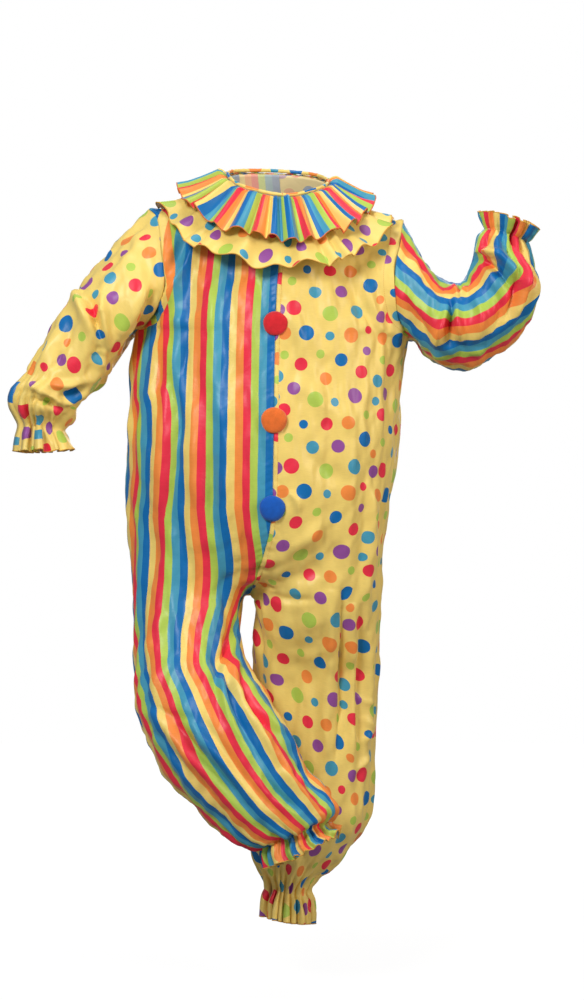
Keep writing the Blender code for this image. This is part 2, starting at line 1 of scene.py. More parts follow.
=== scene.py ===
# %% [markdown]
# # A clown costume in printed satin, as it is worn
#
# The real costume is one loose piece of light polyester satin: one half is striped and the other dotted,
# two gathered ruffles stand round the neck, and elastic gathers each wrist and ankle. Cloth that thin is
# all folds, so a lathe or a box won't do. The way here is the tailor's: each cut piece is a grid of points,
# its form comes from a few measured sections, and folds are then pushed into it along its own normals.
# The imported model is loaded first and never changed. Each grid replaces the plain solid that it dresses.

import bpy
import numpy as np
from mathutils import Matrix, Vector
from mathutils.bvhtree import BVHTree


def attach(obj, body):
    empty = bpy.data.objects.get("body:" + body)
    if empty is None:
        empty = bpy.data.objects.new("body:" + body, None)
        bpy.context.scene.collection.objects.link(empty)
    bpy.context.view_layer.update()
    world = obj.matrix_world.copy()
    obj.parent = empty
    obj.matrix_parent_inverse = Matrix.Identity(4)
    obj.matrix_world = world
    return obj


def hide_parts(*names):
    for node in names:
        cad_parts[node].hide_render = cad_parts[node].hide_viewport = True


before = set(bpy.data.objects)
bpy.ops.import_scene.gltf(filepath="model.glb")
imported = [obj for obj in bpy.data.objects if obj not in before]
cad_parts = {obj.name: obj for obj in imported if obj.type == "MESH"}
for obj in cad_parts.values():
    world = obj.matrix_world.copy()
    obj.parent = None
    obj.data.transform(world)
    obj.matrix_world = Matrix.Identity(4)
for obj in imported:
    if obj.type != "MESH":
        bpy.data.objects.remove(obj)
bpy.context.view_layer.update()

print("solids:", ", ".join(sorted(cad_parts)))

# %% [markdown]
# ## Sections of the costume
#
# A loose garment is easiest to measure in sections: where the centre seam runs, how far out the side is,
# and how deep the cloth stands. These are the named rows that the solids were made from, in metres, with
# the front towards -Y and the origin in the middle of the neck opening. Only the lower part of both sleeves
# and the left ankle are slimmer here, by up to 21 mm, as a closer look at the photograph showed.

# %% Tables of sections
def table(columns, *rows):
    """Rows as a record array, so that a column is read by its name."""
    return np.rec.fromrecords(rows, names=columns)


FRONT, BACK = -1, 1

# Centre seam of the body from chest to crotch. leg: 0 is a torso section, 1 a leg section.
CENTRE_SEAM = table(
    "x, z, front_y, back_y, leg",
    (-0.008, -0.290, -0.155, 0.140, 0.00),
    (-0.009, -0.340, -0.158, 0.138, 0.00),
    (-0.010, -0.395, -0.162, 0.134, 0.00),
    (-0.010, -0.450, -0.165, 0.134, 0.00),
    (-0.011, -0.505, -0.166, 0.140, 0.00),
    (-0.012, -0.560, -0.166, 0.150, 0.00),
    (-0.013, -0.615, -0.163, 0.158, 0.00),
    (-0.020, -0.668, -0.158, 0.160, 0.02),
    (-0.032, -0.713, -0.150, 0.158, 0.10),
    (-0.043, -0.746, -0.142, 0.152, 0.28),
    (-0.050, -0.766, -0.137, 0.147, 0.56),
    (-0.055, -0.777, -0.132, 0.142, 1.00),
)

# Side of the body at each of those rows: x, z and half the depth of a leg section there.
SIDE_COLUMNS = "x, z, depth"
SIDES = {
    "right": table(
        SIDE_COLUMNS,
        (-0.264, -0.281, 0.12),
        (-0.279, -0.334, 0.12),
        (-0.284, -0.391, 0.12),
        (-0.286, -0.448, 0.12),
        (-0.288, -0.505, 0.12),
        (-0.288, -0.562, 0.12),
        (-0.287, -0.619, 0.12),
        (-0.285, -0.670, 0.135),
        (-0.282, -0.714, 0.135),
        (-0.281, -0.752, 0.135),
        (-0.281, -0.780, 0.133),
        (-0.280, -0.802, 0.131),
    ),
    "left": table(
        SIDE_COLUMNS,
        (0.243, -0.300, 0.12),
        (0.237, -0.346, 0.12),
        (0.231, -0.398, 0.12),
        (0.229, -0.450, 0.12),
        (0.225, -0.504, 0.12),
        (0.217, -0.559, 0.12),
        (0.208, -0.614, 0.12),
        (0.200, -0.663, 0.135),
        (0.194, -0.708, 0.135),
        (0.190, -0.745, 0.135),
        (0.188, -0.772, 0.133),
        (0.188, -0.792, 0.131),
    ),
}

# Leg sections below the crotch row: inner point, outer point, middle in y, half the depth.
TUBE_COLUMNS = "in_x, in_z, out_x, out_z, mid_y, depth"
CROTCH_Y = 0.010
LEGS = {
    "right": table(
        TUBE_COLUMNS,
        (-0.067, -0.786, -0.280, -0.824, 0.006, 0.129),
        (-0.070, -0.820, -0.279, -0.855, -0.012, 0.126),
        (-0.070, -0.862, -0.276, -0.900, -0.041, 0.120),
        (-0.062, -0.902, -0.271, -0.950, -0.078, 0.112),
        (-0.035, -0.948, -0.258, -1.003, -0.112, 0.106),
        (0.000, -1.001, -0.238, -1.060, -0.136, 0.098),
        (0.034, -1.059, -0.202, -1.122, -0.148, 0.090),
        (0.064, -1.110, -0.154, -1.173, -0.152, 0.084),
        (0.091, -1.146, -0.106, -1.214, -0.153, 0.078),
        (0.103, -1.172, -0.062, -1.240, -0.152, 0.068),
        (0.085, -1.194, -0.029, -1.234, -0.150, 0.046),
    ),
    "left": table(
        TUBE_COLUMNS,
        (-0.045, -0.788, 0.187, -0.808, 0.013, 0.127),
        (-0.049, -0.826, 0.186, -0.834, 0.022, 0.120),
        (-0.053, -0.874, 0.187, -0.876, 0.034, 0.109),
        (-0.051, -0.926, 0.186, -0.926, 0.046, 0.097),
        (-0.046, -0.985, 0.182, -0.985, 0.050, 0.094),
        (-0.044, -1.046, 0.180, -1.046, 0.051, 0.093),
        (-0.046, -1.107, 0.177, -1.107, 0.051, 0.092),
        (-0.052, -1.168, 0.174, -1.168, 0.051, 0.092),
        (-0.058, -1.225, 0.164, -1.222, 0.051, 0.090),
        (-0.056, -1.275, 0.130, -1.272, 0.051, 0.079),
        (-0.023, -1.338, 0.063, -1.340, 0.051, 0.042),
    ),
}
LEG_FRILLS = {
    "right": table(
        TUBE_COLUMNS,
        (0.096, -1.208, -0.029, -1.257, -0.150, 0.055),
        (0.112, -1.212, -0.024, -1.278, -0.150, 0.064),
    ),
    "left": table(
        TUBE_COLUMNS,
        (-0.028, -1.366, 0.062, -1.372, 0.051, 0.050),
        (-0.030, -1.398, 0.060, -1.412, 0.051, 0.056),
    ),
}

# Centre front and back above the chest row, up to the neck.
CHEST = table(
    "x, front_z, front_y, back_z, back_y",
    (-0.005, -0.215, -0.148, -0.200, 0.142),
    (0.000, -0.140, -0.124, -0.110, 0.130),
    (0.003, -0.080, -0.099, -0.040, 0.104),
)

# Middle of each shoulder seam, which hollows between the neck and the shoulder tip: x, y, z.
SHOULDERS = {"right": (-0.165, 0.0, -0.043), "left": (0.150, 0.0, -0.061)}

# Armholes from the armpit to the shoulder tip: x, z, front y, back y.
ARMHOLE_COLUMNS = "x, z, front_y, back_y"
ARMHOLES = {
    "right": table(
        ARMHOLE_COLUMNS,
        (-0.264, -0.281, 0.000, 0.000),
        (-0.252, -0.271, -0.042, 0.042),
        (-0.231, -0.246, -0.076, 0.070),
        (-0.216, -0.208, -0.092, 0.084),
        (-0.216, -0.172, -0.091, 0.086),
        (-0.221, -0.134, -0.079, 0.078),
        (-0.226, -0.097, -0.056, 0.058),
        (-0.234, -0.066, -0.030, 0.032),
        (-0.249, -0.050, 0.000, 0.000),
    ),
    "left": table(
        ARMHOLE_COLUMNS,
        (0.243, -0.300, 0.000, 0.000),
        (0.236, -0.291, -0.038, 0.034),
        (0.227, -0.274, -0.060, 0.054),
        (0.219, -0.245, -0.080, 0.073),
        (0.215, -0.203, -0.090, 0.084),
        (0.217, -0.160, -0.081, 0.080),
        (0.226, -0.122, -0.058, 0.058),
        (0.230, -0.095, -0.032, 0.032),
        (0.234, -0.073, 0.000, 0.000),
    ),
}

# Sleeve sections: under point, outer point, middle in y, half the depth.
SLEEVES = {
    "right": table(
        TUBE_COLUMNS,
        (-0.283, -0.284, -0.284, -0.083, 0.001, 0.097),
        (-0.290, -0.296, -0.321, -0.124, -0.007, 0.100),
        (-0.297, -0.315, -0.357, -0.168, -0.014, 0.097),
        (-0.306, -0.336, -0.390, -0.214, -0.021, 0.092),
        (-0.320, -0.358, -0.421, -0.263, -0.027, 0.087),
        (-0.338, -0.383, -0.449, -0.314, -0.032, 0.080),
        (-0.359, -0.405, -0.474, -0.362, -0.036, 0.074),
        (-0.380, -0.427, -0.493, -0.398, -0.039, 0.068),
        (-0.387, -0.446, -0.496, -0.421, -0.040, 0.060),
        (-0.407, -0.470, -0.481, -0.457, -0.040, 0.034),
    ),
    "left": table(
        TUBE_COLUMNS,
        (0.260, -0.306, 0.253, -0.114, -0.004, 0.098),
        (0.281, -0.333, 0.276, -0.156, -0.012, 0.098),
        (0.324, -0.356, 0.302, -0.186, -0.024, 0.095),
        (0.371, -0.349, 0.329, -0.197, -0.033, 0.090),
        (0.420, -0.318, 0.350, -0.190, -0.041, 0.085),
        (0.463, -0.272, 0.365, -0.168, -0.046, 0.080),
        (0.482, -0.220, 0.371, -0.147, -0.050, 0.074),
        (0.478, -0.178, 0.371, -0.127, -0.050, 0.064),
        (0.466, -0.147, 0.377, -0.111, -0.050, 0.054),
        (0.452, -0.117, 0.394, -0.096, -0.050, 0.034),
    ),
}
SLEEVE_FRILLS = {
    "right": table(
        TUBE_COLUMNS,
        (-0.398, -0.490, -0.485, -0.484, -0.040, 0.040),
        (-0.389, -0.508, -0.489, -0.512, -0.040, 0.046),
    ),
    "left": table(
        TUBE_COLUMNS,
        (0.466, -0.104, 0.386, -0.077, -0.050, 0.040),
        (0.479, -0.087, 0.378, -0.058, -0.050, 0.047),
    ),
}

# Neck and collar by compass point round the neck: 0 is the front, 90 is towards +X. Sag: how far the
# lower tier lies in from the straight line between its two edges.
COLLAR = table(
    "angle, neck_x, neck_y, neck_z, upper_x, upper_y, upper_z, "
    "lower_x, lower_y, lower_z, sag",
    (0, 0.006, -0.088, -0.037, 0.015, -0.154, -0.131, 0.015, -0.172, -0.176, 0.005),
    (45, 0.068, -0.062, -0.024, 0.125, -0.112, -0.102, 0.152, -0.132, -0.144, 0.007),
    (90, 0.093, 0.000, -0.002, 0.172, -0.003, -0.045, 0.213, -0.005, -0.070, 0.009),
    (135, 0.068, 0.058, 0.018, 0.122, 0.104, -0.044, 0.150, 0.130, -0.098, 0.008),
    (180, -0.002, 0.082, 0.028, -0.004, 0.146, -0.048, -0.006, 0.168, -0.110, 0.007),
    (225, -0.074, 0.058, 0.026, -0.136, 0.104, -0.026, -0.166, 0.130, -0.080, 0.008),
    (270, -0.101, 0.000, 0.013, -0.188, -0.003, -0.022, -0.226, -0.005, -0.047, 0.009),
    (315, -0.072, -0.062, -0.017, -0.128, -0.112, -0.090, -0.146, -0.134, -0.138, 0.007),
)
BUTTONS = table(
    "name, z, radius, dome",
    ("button_top", -0.277, 0.0225, 0.010),
    ("button_middle", -0.456, 0.0240, 0.010),
    ("button_bottom", -0.618, 0.0240, 0.010),
)
BODY_LAYER = 2
LAYER_STEP = 0.0024
NECK_MIDDLE = np.array([COLLAR.neck_x.mean(), COLLAR.neck_y.mean()])
print("sections:", len(CENTRE_SEAM), "torso,", len(LEGS["left"]), "leg,", len(SLEEVES["left"]), "sleeve")

# %% [markdown]
# ## Curves through the rows
#
# Straight lines between sections would show as kinks in satin. A cubic through the rows is smooth and still
# passes through every measured section. Its tangent at a row is the slope between the row's neighbours.

# %% Smooth curves
def smooth(places, values, where):
    """A cubic through rows: start, end and both tangents, each weighted by a polynomial of the share t."""
    places = np.asarray(places, float)
    values = np.asarray(values, float)
    where = np.atleast_1d(np.asarray(where, float))
    wide = (-1,) + (1,) * (values.ndim - 1)
    steps = np.diff(values, axis=0) / np.diff(places).reshape(wide)
    tangent = np.concatenate([steps[:1], (steps[1:] + steps[:-1]) / 2, steps[-1:]])
    index = np.clip(np.searchsorted(places, where, side="right") - 1, 0, len(places) - 2)
    span = (places[index + 1] - places[index]).reshape(wide)
    t = (where - places[index]).reshape(wide) / span
    return (values[index] * (1 + 2 * t) * (1 - t) ** 2 + values[index + 1] * t * t * (3 - 2 * t)
            + span * (tangent[index] * t * (1 - t) ** 2 - tangent[index + 1] * t * t * (1 - t)))


def smooth_ring(angles, values, where):
    """The same round a closed ring, with angles in degrees: the rows are laid three times end to end."""
    places = np.concatenate([angles - 360, angles, angles + 360])
    return smooth(places, np.concatenate([values] * 3), np.mod(where, 360))


def even(values, count):
    """Evenly spaced points along the curve through the rows: places are the distances walked."""
    values = np.asarray(values, float)
    places = np.concatenate([[0], np.cumsum(np.linalg.norm(np.diff(values, axis=0), axis=1))])
    return smooth(places, values, np.linspace(0, places[-1], count))


def step(low, high, value):
    """0 below low, 1 above high, and between them 3 t squared less 2 t cubed."""
    t = np.clip((value - low) / (high - low), 0, 1)
    return t * t * (3 - 2 * t)


def walked(points, axis):
    """Distance walked along one axis of a grid of points, from its first line."""
    lengths = np.linalg.norm(np.diff(points, axis=axis), axis=2)
    start = np.zeros_like(np.take(lengths, [0], axis=axis))
    return np.cumsum(np.concatenate([start, lengths], axis=axis), axis=axis)


# %% [markdown]
# ## The body panels
#
# The costume has a centre seam, side seams and inner leg seams, so its body is four panels. Rows of a panel
# run from the centre line round to the side, and columns run from the neck down through the leg to the
# frill below the elastic. Above the chest the armhole bites into the panel, so its rows end there instead.
# Neighbouring panels are worked out from the same lines, so their edges meet point for point.

# %% Sections as grids
COLUMNS = 96
ROW_STEPS = 11
ELASTIC_STEPS = 14


def ring(u, in_x, in_z, out_x, out_z, mid_y, depth):
    """An oval tube section: x and z go out and back by sine squared of pi u, y by the sine of 2 pi u."""
    across = np.sin(np.pi * u) ** 2
    return np.stack([in_x + (out_x - in_x) * across,
                     mid_y - depth * np.sin(2 * np.pi * u),
                     in_z + (out_z - in_z) * across], axis=-1)


def body_row(u, centre, side):
    """A half section: an oval quarter to the side, blended towards a leg ring by the leg's share."""
    leg = centre.leg
    bow = np.sin(np.pi * u)
    torso_y = np.where(u < 0.5, centre.front_y, centre.back_y) * np.abs(np.cos(np.pi * u))
    leg_y = CROTCH_Y - side.depth * np.sin(2 * np.pi * u)
    return np.stack([centre.x + (side.x - centre.x) * ((1 - leg) * bow + leg * bow ** 2),
                     (1 - leg) * torso_y + leg * leg_y,
                     centre.z + (side.z - centre.z) * bow ** 2], axis=-1)


def finer(rows, elastic):
    """More rows by the cubic through the coarse ones, closest together round the elastic's row."""
    last = len(rows) - 1
    places = np.concatenate([np.arange(0, elastic - 1, 1 / ROW_STEPS),
                             np.arange(elastic - 1, last, 1 / ELASTIC_STEPS), [last]])
    return smooth(np.arange(len(rows)), rows, places), places


# %% [markdown]
# Above the chest a panel is a fan of arcs, each from the centre line to the armhole. The lowest arc bows out
# like the chest below it. Towards the top the arcs turn flat and take on a growing share of the neck and
# shoulder line, so the last one is that line itself. The neck ring is shared by the body and both ruffles,
# each on a layer of its own, so that nothing comes through what lies over it.

# %% Neck, armhole and yoke
NECK_COLUMNS = 38
ARMHOLE_ROWS = 66
BOWED_SHARE = 0.4


def collar_ring(angle, kind):
    """Points of the neck, upper edge or lower edge ring at the given angles."""
    points = np.stack([COLLAR[f"{kind}_{axis}"] for axis in "xyz"], axis=1)
    return smooth_ring(COLLAR.angle, points, angle)


def from_neck(points):
    """Level directions of length 1, away from the middle of the neck opening."""
    away = points[..., :2] - NECK_MIDDLE
    away = away / np.linalg.norm(away, axis=-1, keepdims=True)
    return np.concatenate([away, np.zeros_like(away[..., :1])], axis=-1)


def layered(points, layer):
    """The neck ring moved in and down by whole layers, so that what is gathered there lies in order."""
    return points - (from_neck(points) + [0, 0, 1]) / np.sqrt(2) * LAYER_STEP * layer


def armhole(side, face):
    """The armhole edge from the armpit to the shoulder tip."""
    edge = ARMHOLES[side]
    y = edge.front_y if face == FRONT else edge.back_y
    return even(np.stack([edge.x, y, edge.z], axis=1), ARMHOLE_ROWS + 1)


def arc(start, end, bow):
    """From the centre to the armhole: sine and cosine of a quarter turn, flattened as bow goes to 0."""
    across = np.linspace(0, 1, COLUMNS + 1)
    turn = across * np.pi / 2
    shares = [bow * np.sin(turn) + (1 - bow) * across,
              bow * (1 - np.cos(turn)) + (1 - bow) * across ** 2,
              bow * np.sin(turn) ** 2 + (1 - bow) * across]
    return start + (end - start) * np.stack(shares, axis=1)


def yoke(side, face, chest_row):
    """Arcs from the centre to the armhole, which take on the neck and shoulder line towards the top."""
    y, z = (CHEST.front_y, CHEST.front_z) if face == FRONT else (CHEST.back_y, CHEST.back_z)
    start = {("right", FRONT): 360, ("left", FRONT): 0}.get((side, face), 180)
    angle = np.linspace(start, 270 if side == "right" else 90, NECK_COLUMNS + 1)
    neck = layered(collar_ring(angle, "neck"), BODY_LAYER)
    arm = armhole(side, face)
    chest = np.stack([CHEST.x, y, z], axis=1)
    centre = even(np.vstack([chest_row[0], chest, neck[0]]), ARMHOLE_ROWS + 1)
    shoulder = even([neck[-1], SHOULDERS[side], arm[-1]], COLUMNS - NECK_COLUMNS + 1)
    turned = np.vstack([neck[:-1], shoulder]) - arc(centre[-1], arm[-1], 0)
    rows = []
    for k in range(1, ARMHOLE_ROWS + 1):
        share = k / ARMHOLE_ROWS
        bow = 1 - step(0, BOWED_SHARE, share)
        rows.append(arc(centre[k], arm[k], bow) + turned * share ** 2)
    return np.array(rows)


# %% [markdown]
# A pattern printed on cloth follows the cloth, so each point also gets its place on the flat cut, in
# metres: how far it is across and how far it is down. Rows and columns of the grid don't meet at right
# angles on a bent leg, so each step along a row is split in two: its part along the column counts as down,
# and the rest as across. On the shoulders every step is split by the level direction on the cloth and the
# one square to it. Where elastic gathers a leg or a wrist, the cloth is as wide as before and only bunched,
# so its flat width is held from there on.

# %% Laying the cloth flat
def laid_flat(points):
    """Distances across and down from column 0 of each row: a step's part along the column is down."""
    way = np.gradient(points, axis=0)
    way /= np.linalg.norm(way, axis=2, keepdims=True)
    way = way[:, 1:] + way[:, :-1]
    way /= np.linalg.norm(way, axis=2, keepdims=True)
    stride = np.diff(points, axis=1)
    down = (stride * way).sum(axis=2)
    across = np.sqrt(np.maximum((stride ** 2).sum(axis=2) - down ** 2, 0))
    start = np.zeros((len(points), 1))
    return np.cumsum(np.hstack([start, across]), axis=1), np.cumsum(np.hstack([start, down]), axis=1)


def level_flat(points):
    """Distances across from column 0 and down from the last row, by the level direction on the cloth."""
    normal = np.cross(np.gradient(points, axis=1), np.gradient(points, axis=0))
    normal /= np.linalg.norm(normal, axis=2, keepdims=True) + 1e-12
    level = np.cross(normal, [0, 0, 1])
    level /= np.linalg.norm(level, axis=2, keepdims=True) + 1e-12
    steep = np.cross(normal, level)
    across = np.abs((np.diff(points, axis=1) * (level[:, 1:] + level[:, :-1]) / 2).sum(axis=2))
    down = np.abs((np.diff(points, axis=0) * (steep[1:] + steep[:-1]) / 2).sum(axis=2))
    across = np.cumsum(np.hstack([np.zeros((len(points), 1)), across]), axis=1)
    down = np.cumsum(np.vstack([np.zeros((1, points.shape[1])), down]), axis=0)
    return across, down - down[-1]


# %% [markdown]
# Two strips of the cloth have a true width, which their stitching shows: the placket along the centre front
# and the strip along the armhole. The grid's columns are moved along their rows, so that one column runs
# exactly where each strip ends. Nothing of the form changes, because the points stay on their rows.

# %% True widths at placket and armhole
PLACKET_COLUMNS, PLACKET_WIDTH = 3, 0.008
STRIP_COLUMNS, STRIP_WIDTH = 6, 0.021


def along_row(row, places, values=None):
    """Points, or other values kept at them, at the given distances walked along a row of points."""
    walk = walked(row[None], 1)[0]
    kept = row if values is None else values
    return np.stack([np.interp(places, walk, kept[:, axis]) for axis in range(3)], axis=1)


def spaced(points):
    """Moves the columns along their rows, so that the placket's and the armhole strip's widths are true."""
    made = points.copy()
    for k, row in enumerate(points):
        neck, rest = row[:NECK_COLUMNS + 1], row[NECK_COLUMNS:]
        long = walked(neck[None], 1)[0, -1]
        inner = np.linspace(0, PLACKET_WIDTH, PLACKET_COLUMNS + 1)[:-1]
        made[k, :NECK_COLUMNS] = along_row(neck, np.append(
            inner, np.linspace(PLACKET_WIDTH, long, NECK_COLUMNS - PLACKET_COLUMNS + 1)))[:-1]
        long = walked(rest[None], 1)[0, -1]
        inner = np.linspace(0, long - STRIP_WIDTH, COLUMNS - NECK_COLUMNS - STRIP_COLUMNS + 1)
        outer = np.linspace(long - STRIP_WIDTH, long, STRIP_COLUMNS + 1)
        made[k, NECK_COLUMNS + 1:-1] = along_row(rest, np.append(inner, outer[1:]))[1:-1]
    return made


# %% [markdown]
# A panel is the yoke above the chest row and the sections below it. Where torso sections turn into leg
# sections the cloth would crease across the crotch, so each column is averaged along itself there, which is
# what the slack of a loose garment does. The print hangs from the centre line down to the hips and from the
# side seam below them. On the striped front a fold from the ruffle to the armpit swallows some cloth, so
# the stripes beyond it slant.

# %% The four body panels
LEG_ELASTIC = len(CENTRE_SEAM) + len(LEGS["right"]) - 1
HIP_ROW, LEG_ROW = 6, 12
LEG_SHARE_ROWS = (11, 15)
CROTCH_FROM, CROTCH_TO = (4, 8.5), (12.5, 15.5)
CROTCH_REACH, CROTCH_EDGE = 0.075, 0.10
DRAG_X, DRAG_Z, DRAG_SLOPE, DRAG_SHARE = -0.161, -0.108, 0.48, 0.34
DRAG_END = (-0.275, -0.235)
PANEL_GATHERS = 20


def softened(points, reach):
    """Each column averaged along itself, weighted by a bell curve of the distance walked."""
    walk = walked(points, 0)
    stretch = np.gradient(walk, axis=0)
    weight = np.exp(-((walk[:, None] - walk[None]) / reach) ** 2) * stretch[None]
    weight /= weight.sum(axis=1, keepdims=True)
    return np.einsum("abj,bjk->ajk", weight, points)


def lower_panel(side, u):
    """Points from the chest row down to the frill, and the place of each row in the table."""
    rows = [body_row(u, centre, edge) for centre, edge in zip(CENTRE_SEAM, SIDES[side])]
    rows += [ring(u, *row) for row in LEGS[side]] + [ring(u, *row) for row in LEG_FRILLS[side]]
    lower, places = finer(np.array(rows), LEG_ELASTIC)
    soft = step(*CROTCH_FROM, places) * (1 - step(*CROTCH_TO, places))
    soft = soft[:, None, None] * step(0, CROTCH_EDGE, np.minimum(u, 1 - u))[None, :, None]
    return lower + (softened(lower, CROTCH_REACH) - lower) * soft, places


def panel_cloth(points, places):
    """Distances across and down on the flat cut: the full width is held from the leg down to the frill."""
    down = walked(points, 0)
    down -= down[ARMHOLE_ROWS]
    in_leg = np.append(np.zeros(ARMHOLE_ROWS), step(*LEG_SHARE_ROWS, places))[:, None]
    across = walked(points, 1) * (1 - in_leg) + laid_flat(points)[0] * in_leg
    chest = slice(0, ARMHOLE_ROWS + 1)
    across[chest], down[chest] = level_flat(points[chest])
    whole = across[:, -1:]
    hips, leg = (ARMHOLE_ROWS + np.searchsorted(places, row) for row in (HIP_ROW, LEG_ROW))
    held = np.minimum(1, whole / whole[leg])
    held[:leg] = 1
    side_seam = whole.copy()
    side_seam[hips:] = whole[hips]
    return side_seam - (whole - across) / held, down


def dragged(points):
    """Cloth swallowed by the fold to the armpit: a share of the distance beyond its slanting line."""
    beyond = np.maximum(DRAG_X + DRAG_SLOPE * (points[..., 2] - DRAG_Z) - points[..., 0], 0)
    return DRAG_SHARE * beyond * step(*DRAG_END, points[..., 2])


def body_panel(side, face):
    """Front or back of one half: its grid, its place on the cloth and what the folds need of it."""
    half = np.linspace(0, 0.5, COLUMNS + 1)
    u = half if face == FRONT else 1 - half
    lower, places = lower_panel(side, u)
    points = spaced(np.concatenate([yoke(side, face, lower[0])[::-1], lower]))
    across, down = panel_cloth(points, places)
    if side == "right" and face == FRONT:
        across -= dragged(points)
    elastic = ARMHOLE_ROWS + np.searchsorted(places, LEG_ELASTIC)
    return {"name": f"body_{'front' if face == FRONT else 'back'}_{side}", "side": side, "face": face,
            "points": points, "cloth": np.stack([across, -down], axis=-1), "closed": False,
            "outward": -1 if (side == "left") == (face == FRONT) else 1, "group": f"body_{side}",
            "turn": np.broadcast_to(u, points.shape[:2]), "elastic": down - down[elastic].mean(),
            "waves": PANEL_GATHERS, "slot": "striped" if side == "right" else "dotted"}


panels = [body_panel(side, face) for side in ("right", "left") for face in (FRONT, BACK)]
for panel in panels:
    print(panel["name"], panel["points"].shape[:2], "cut width", round(float(panel["cloth"][-1, -1, 0]), 3))

# %% [markdown]
# ## The sleeves
#
# A sleeve is a tube from the armhole to the frill below the wrist's elastic. Its first ring is the armhole
# itself, point for point, and the next few keep a falling share of that shape, so that no step shows.

# %% Two sleeves
ARMHOLE_SHARE = (0.85, 0.6, 0.35, 0.15)
ARMHOLE_DEPTH = 0.088
HELD_ROW = 7
SLEEVE_GATHERS = 16
SLEEVE_ELASTIC = len(SLEEVES["right"])


def sleeve(side):
    """A closed grid round the arm; its first column is the under side and its middle one the top."""
    columns = 2 * ARMHOLE_ROWS
    u = np.arange(columns) / columns
    loop = np.vstack([armhole(side, FRONT), armhole(side, BACK)[-2:0:-1]])
    pit, tip = loop[0], loop[ARMHOLE_ROWS]
    shape = loop - ring(u, pit[0], pit[2], tip[0], tip[2], 0, ARMHOLE_DEPTH)
    rows = np.array([loop] + [ring(u, *row) for row in SLEEVES[side]]
                    + [ring(u, *row) for row in SLEEVE_FRILLS[side]])
    for k, share in enumerate(ARMHOLE_SHARE, start=1):
        rows[k] += shape * share
    points, places = finer(rows, SLEEVE_ELASTIC)
    around, lean = laid_flat(np.concatenate([points, points[:, :1]], axis=1))
    full, held = (around[np.searchsorted(places, row), -1] for row in (1, HELD_ROW))
    around *= np.maximum(1, held / around[:, -1:])
    around += full / 2 - around[:, ARMHOLE_ROWS:ARMHOLE_ROWS + 1]
    down = walked(points, 0)
    elastic = np.searchsorted(places, SLEEVE_ELASTIC)
    middle = ARMHOLE_ROWS // 2
    depth = down[:, middle:middle + 1] + lean - lean[:, middle:middle + 1]
    return {"name": f"sleeve_{side}", "side": side, "face": 0, "points": points, "closed": True,
            "cloth": np.stack([-around, -depth], axis=-1), "outward": -1 if side == "left" else 1,
            "group": f"sleeve_{side}", "turn": np.broadcast_to(u, points.shape[:2]),
            "elastic": down - down[elastic].mean(), "waves": SLEEVE_GATHERS,
            "slot": "dotted" if side == "right" else "striped"}


sleeves = [sleeve(side) for side in ("right", "left")]
sheets = panels + sleeves
print("points in the body and sleeves:", sum(sheet["points"][..., 0].size for sheet in sheets))

# %% [markdown]
# ## Normals that seams share
#
# Folds are pushed in along the normals. If each panel had its own normals, the panels would part at the
# seams, so a point that two panels share gets the sum of both panels' normals. Adding up per point is done
# with one weighted count for each axis, not with a loop over points.

# %% Shared normals
def quads(sheet):
    """Point numbers of the grid's cells, and the wider numbers of their places on the cloth."""
    rows, columns = sheet["points"].shape[:2]
    index = np.arange(rows * columns).reshape(rows, columns)
    place = np.arange(rows * (columns + sheet["closed"])).reshape(rows, -1)
    if sheet["closed"]:
        index = np.hstack([index, index[:, :1]])

    def cells(grid):
        corners = [grid[:-1, :-1], grid[:-1, 1:], grid[1:, 1:], grid[1:, :-1]]
        return np.stack(corners[::sheet["outward"]], axis=-1).reshape(-1, 4)

    return cells(index), cells(place)


def seam_keys(sheets):
    """For every point of every sheet, the number of the place that it shares with its neighbours."""
    points = np.concatenate([sheet["points"].reshape(-1, 3) for sheet in sheets])
    return np.unique(np.round(points, 5), axis=0, return_inverse=True)[1].reshape(-1)


def set_normals(sheets, keys):
    """Each place's normal: the crossed diagonals of its cells, added up and brought to length 1."""
    points = np.concatenate([sheet["points"].reshape(-1, 3) for sheet in sheets])
    starts = np.cumsum([0] + [sheet["points"][..., 0].size for sheet in sheets])
    total = np.zeros((keys.max() + 1, 3))
    for sheet, start in zip(sheets, starts):
        cells = quads(sheet)[0] + start
        corner = points[cells]
        normal = np.cross(corner[:, 2] - corner[:, 0], corner[:, 3] - corner[:, 1])
        for axis in range(3):
            weights = np.repeat(normal[:, axis], 4)
            total[:, axis] += np.bincount(keys[cells].reshape(-1), weights, len(total))
    total /= np.linalg.norm(total, axis=1)[:, None] + 1e-12
    for sheet, start in zip(sheets, starts):
        size = sheet["points"][..., 0].size
        sheet["normals"] = total[keys[start:start + size]].reshape(sheet["points"].shape)


keys = seam_keys(sheets)
set_normals(sheets, keys)
front = sheets[0]["normals"][ARMHOLE_ROWS + 60, 10]
print("a normal on the front points to", np.round(front, 2))
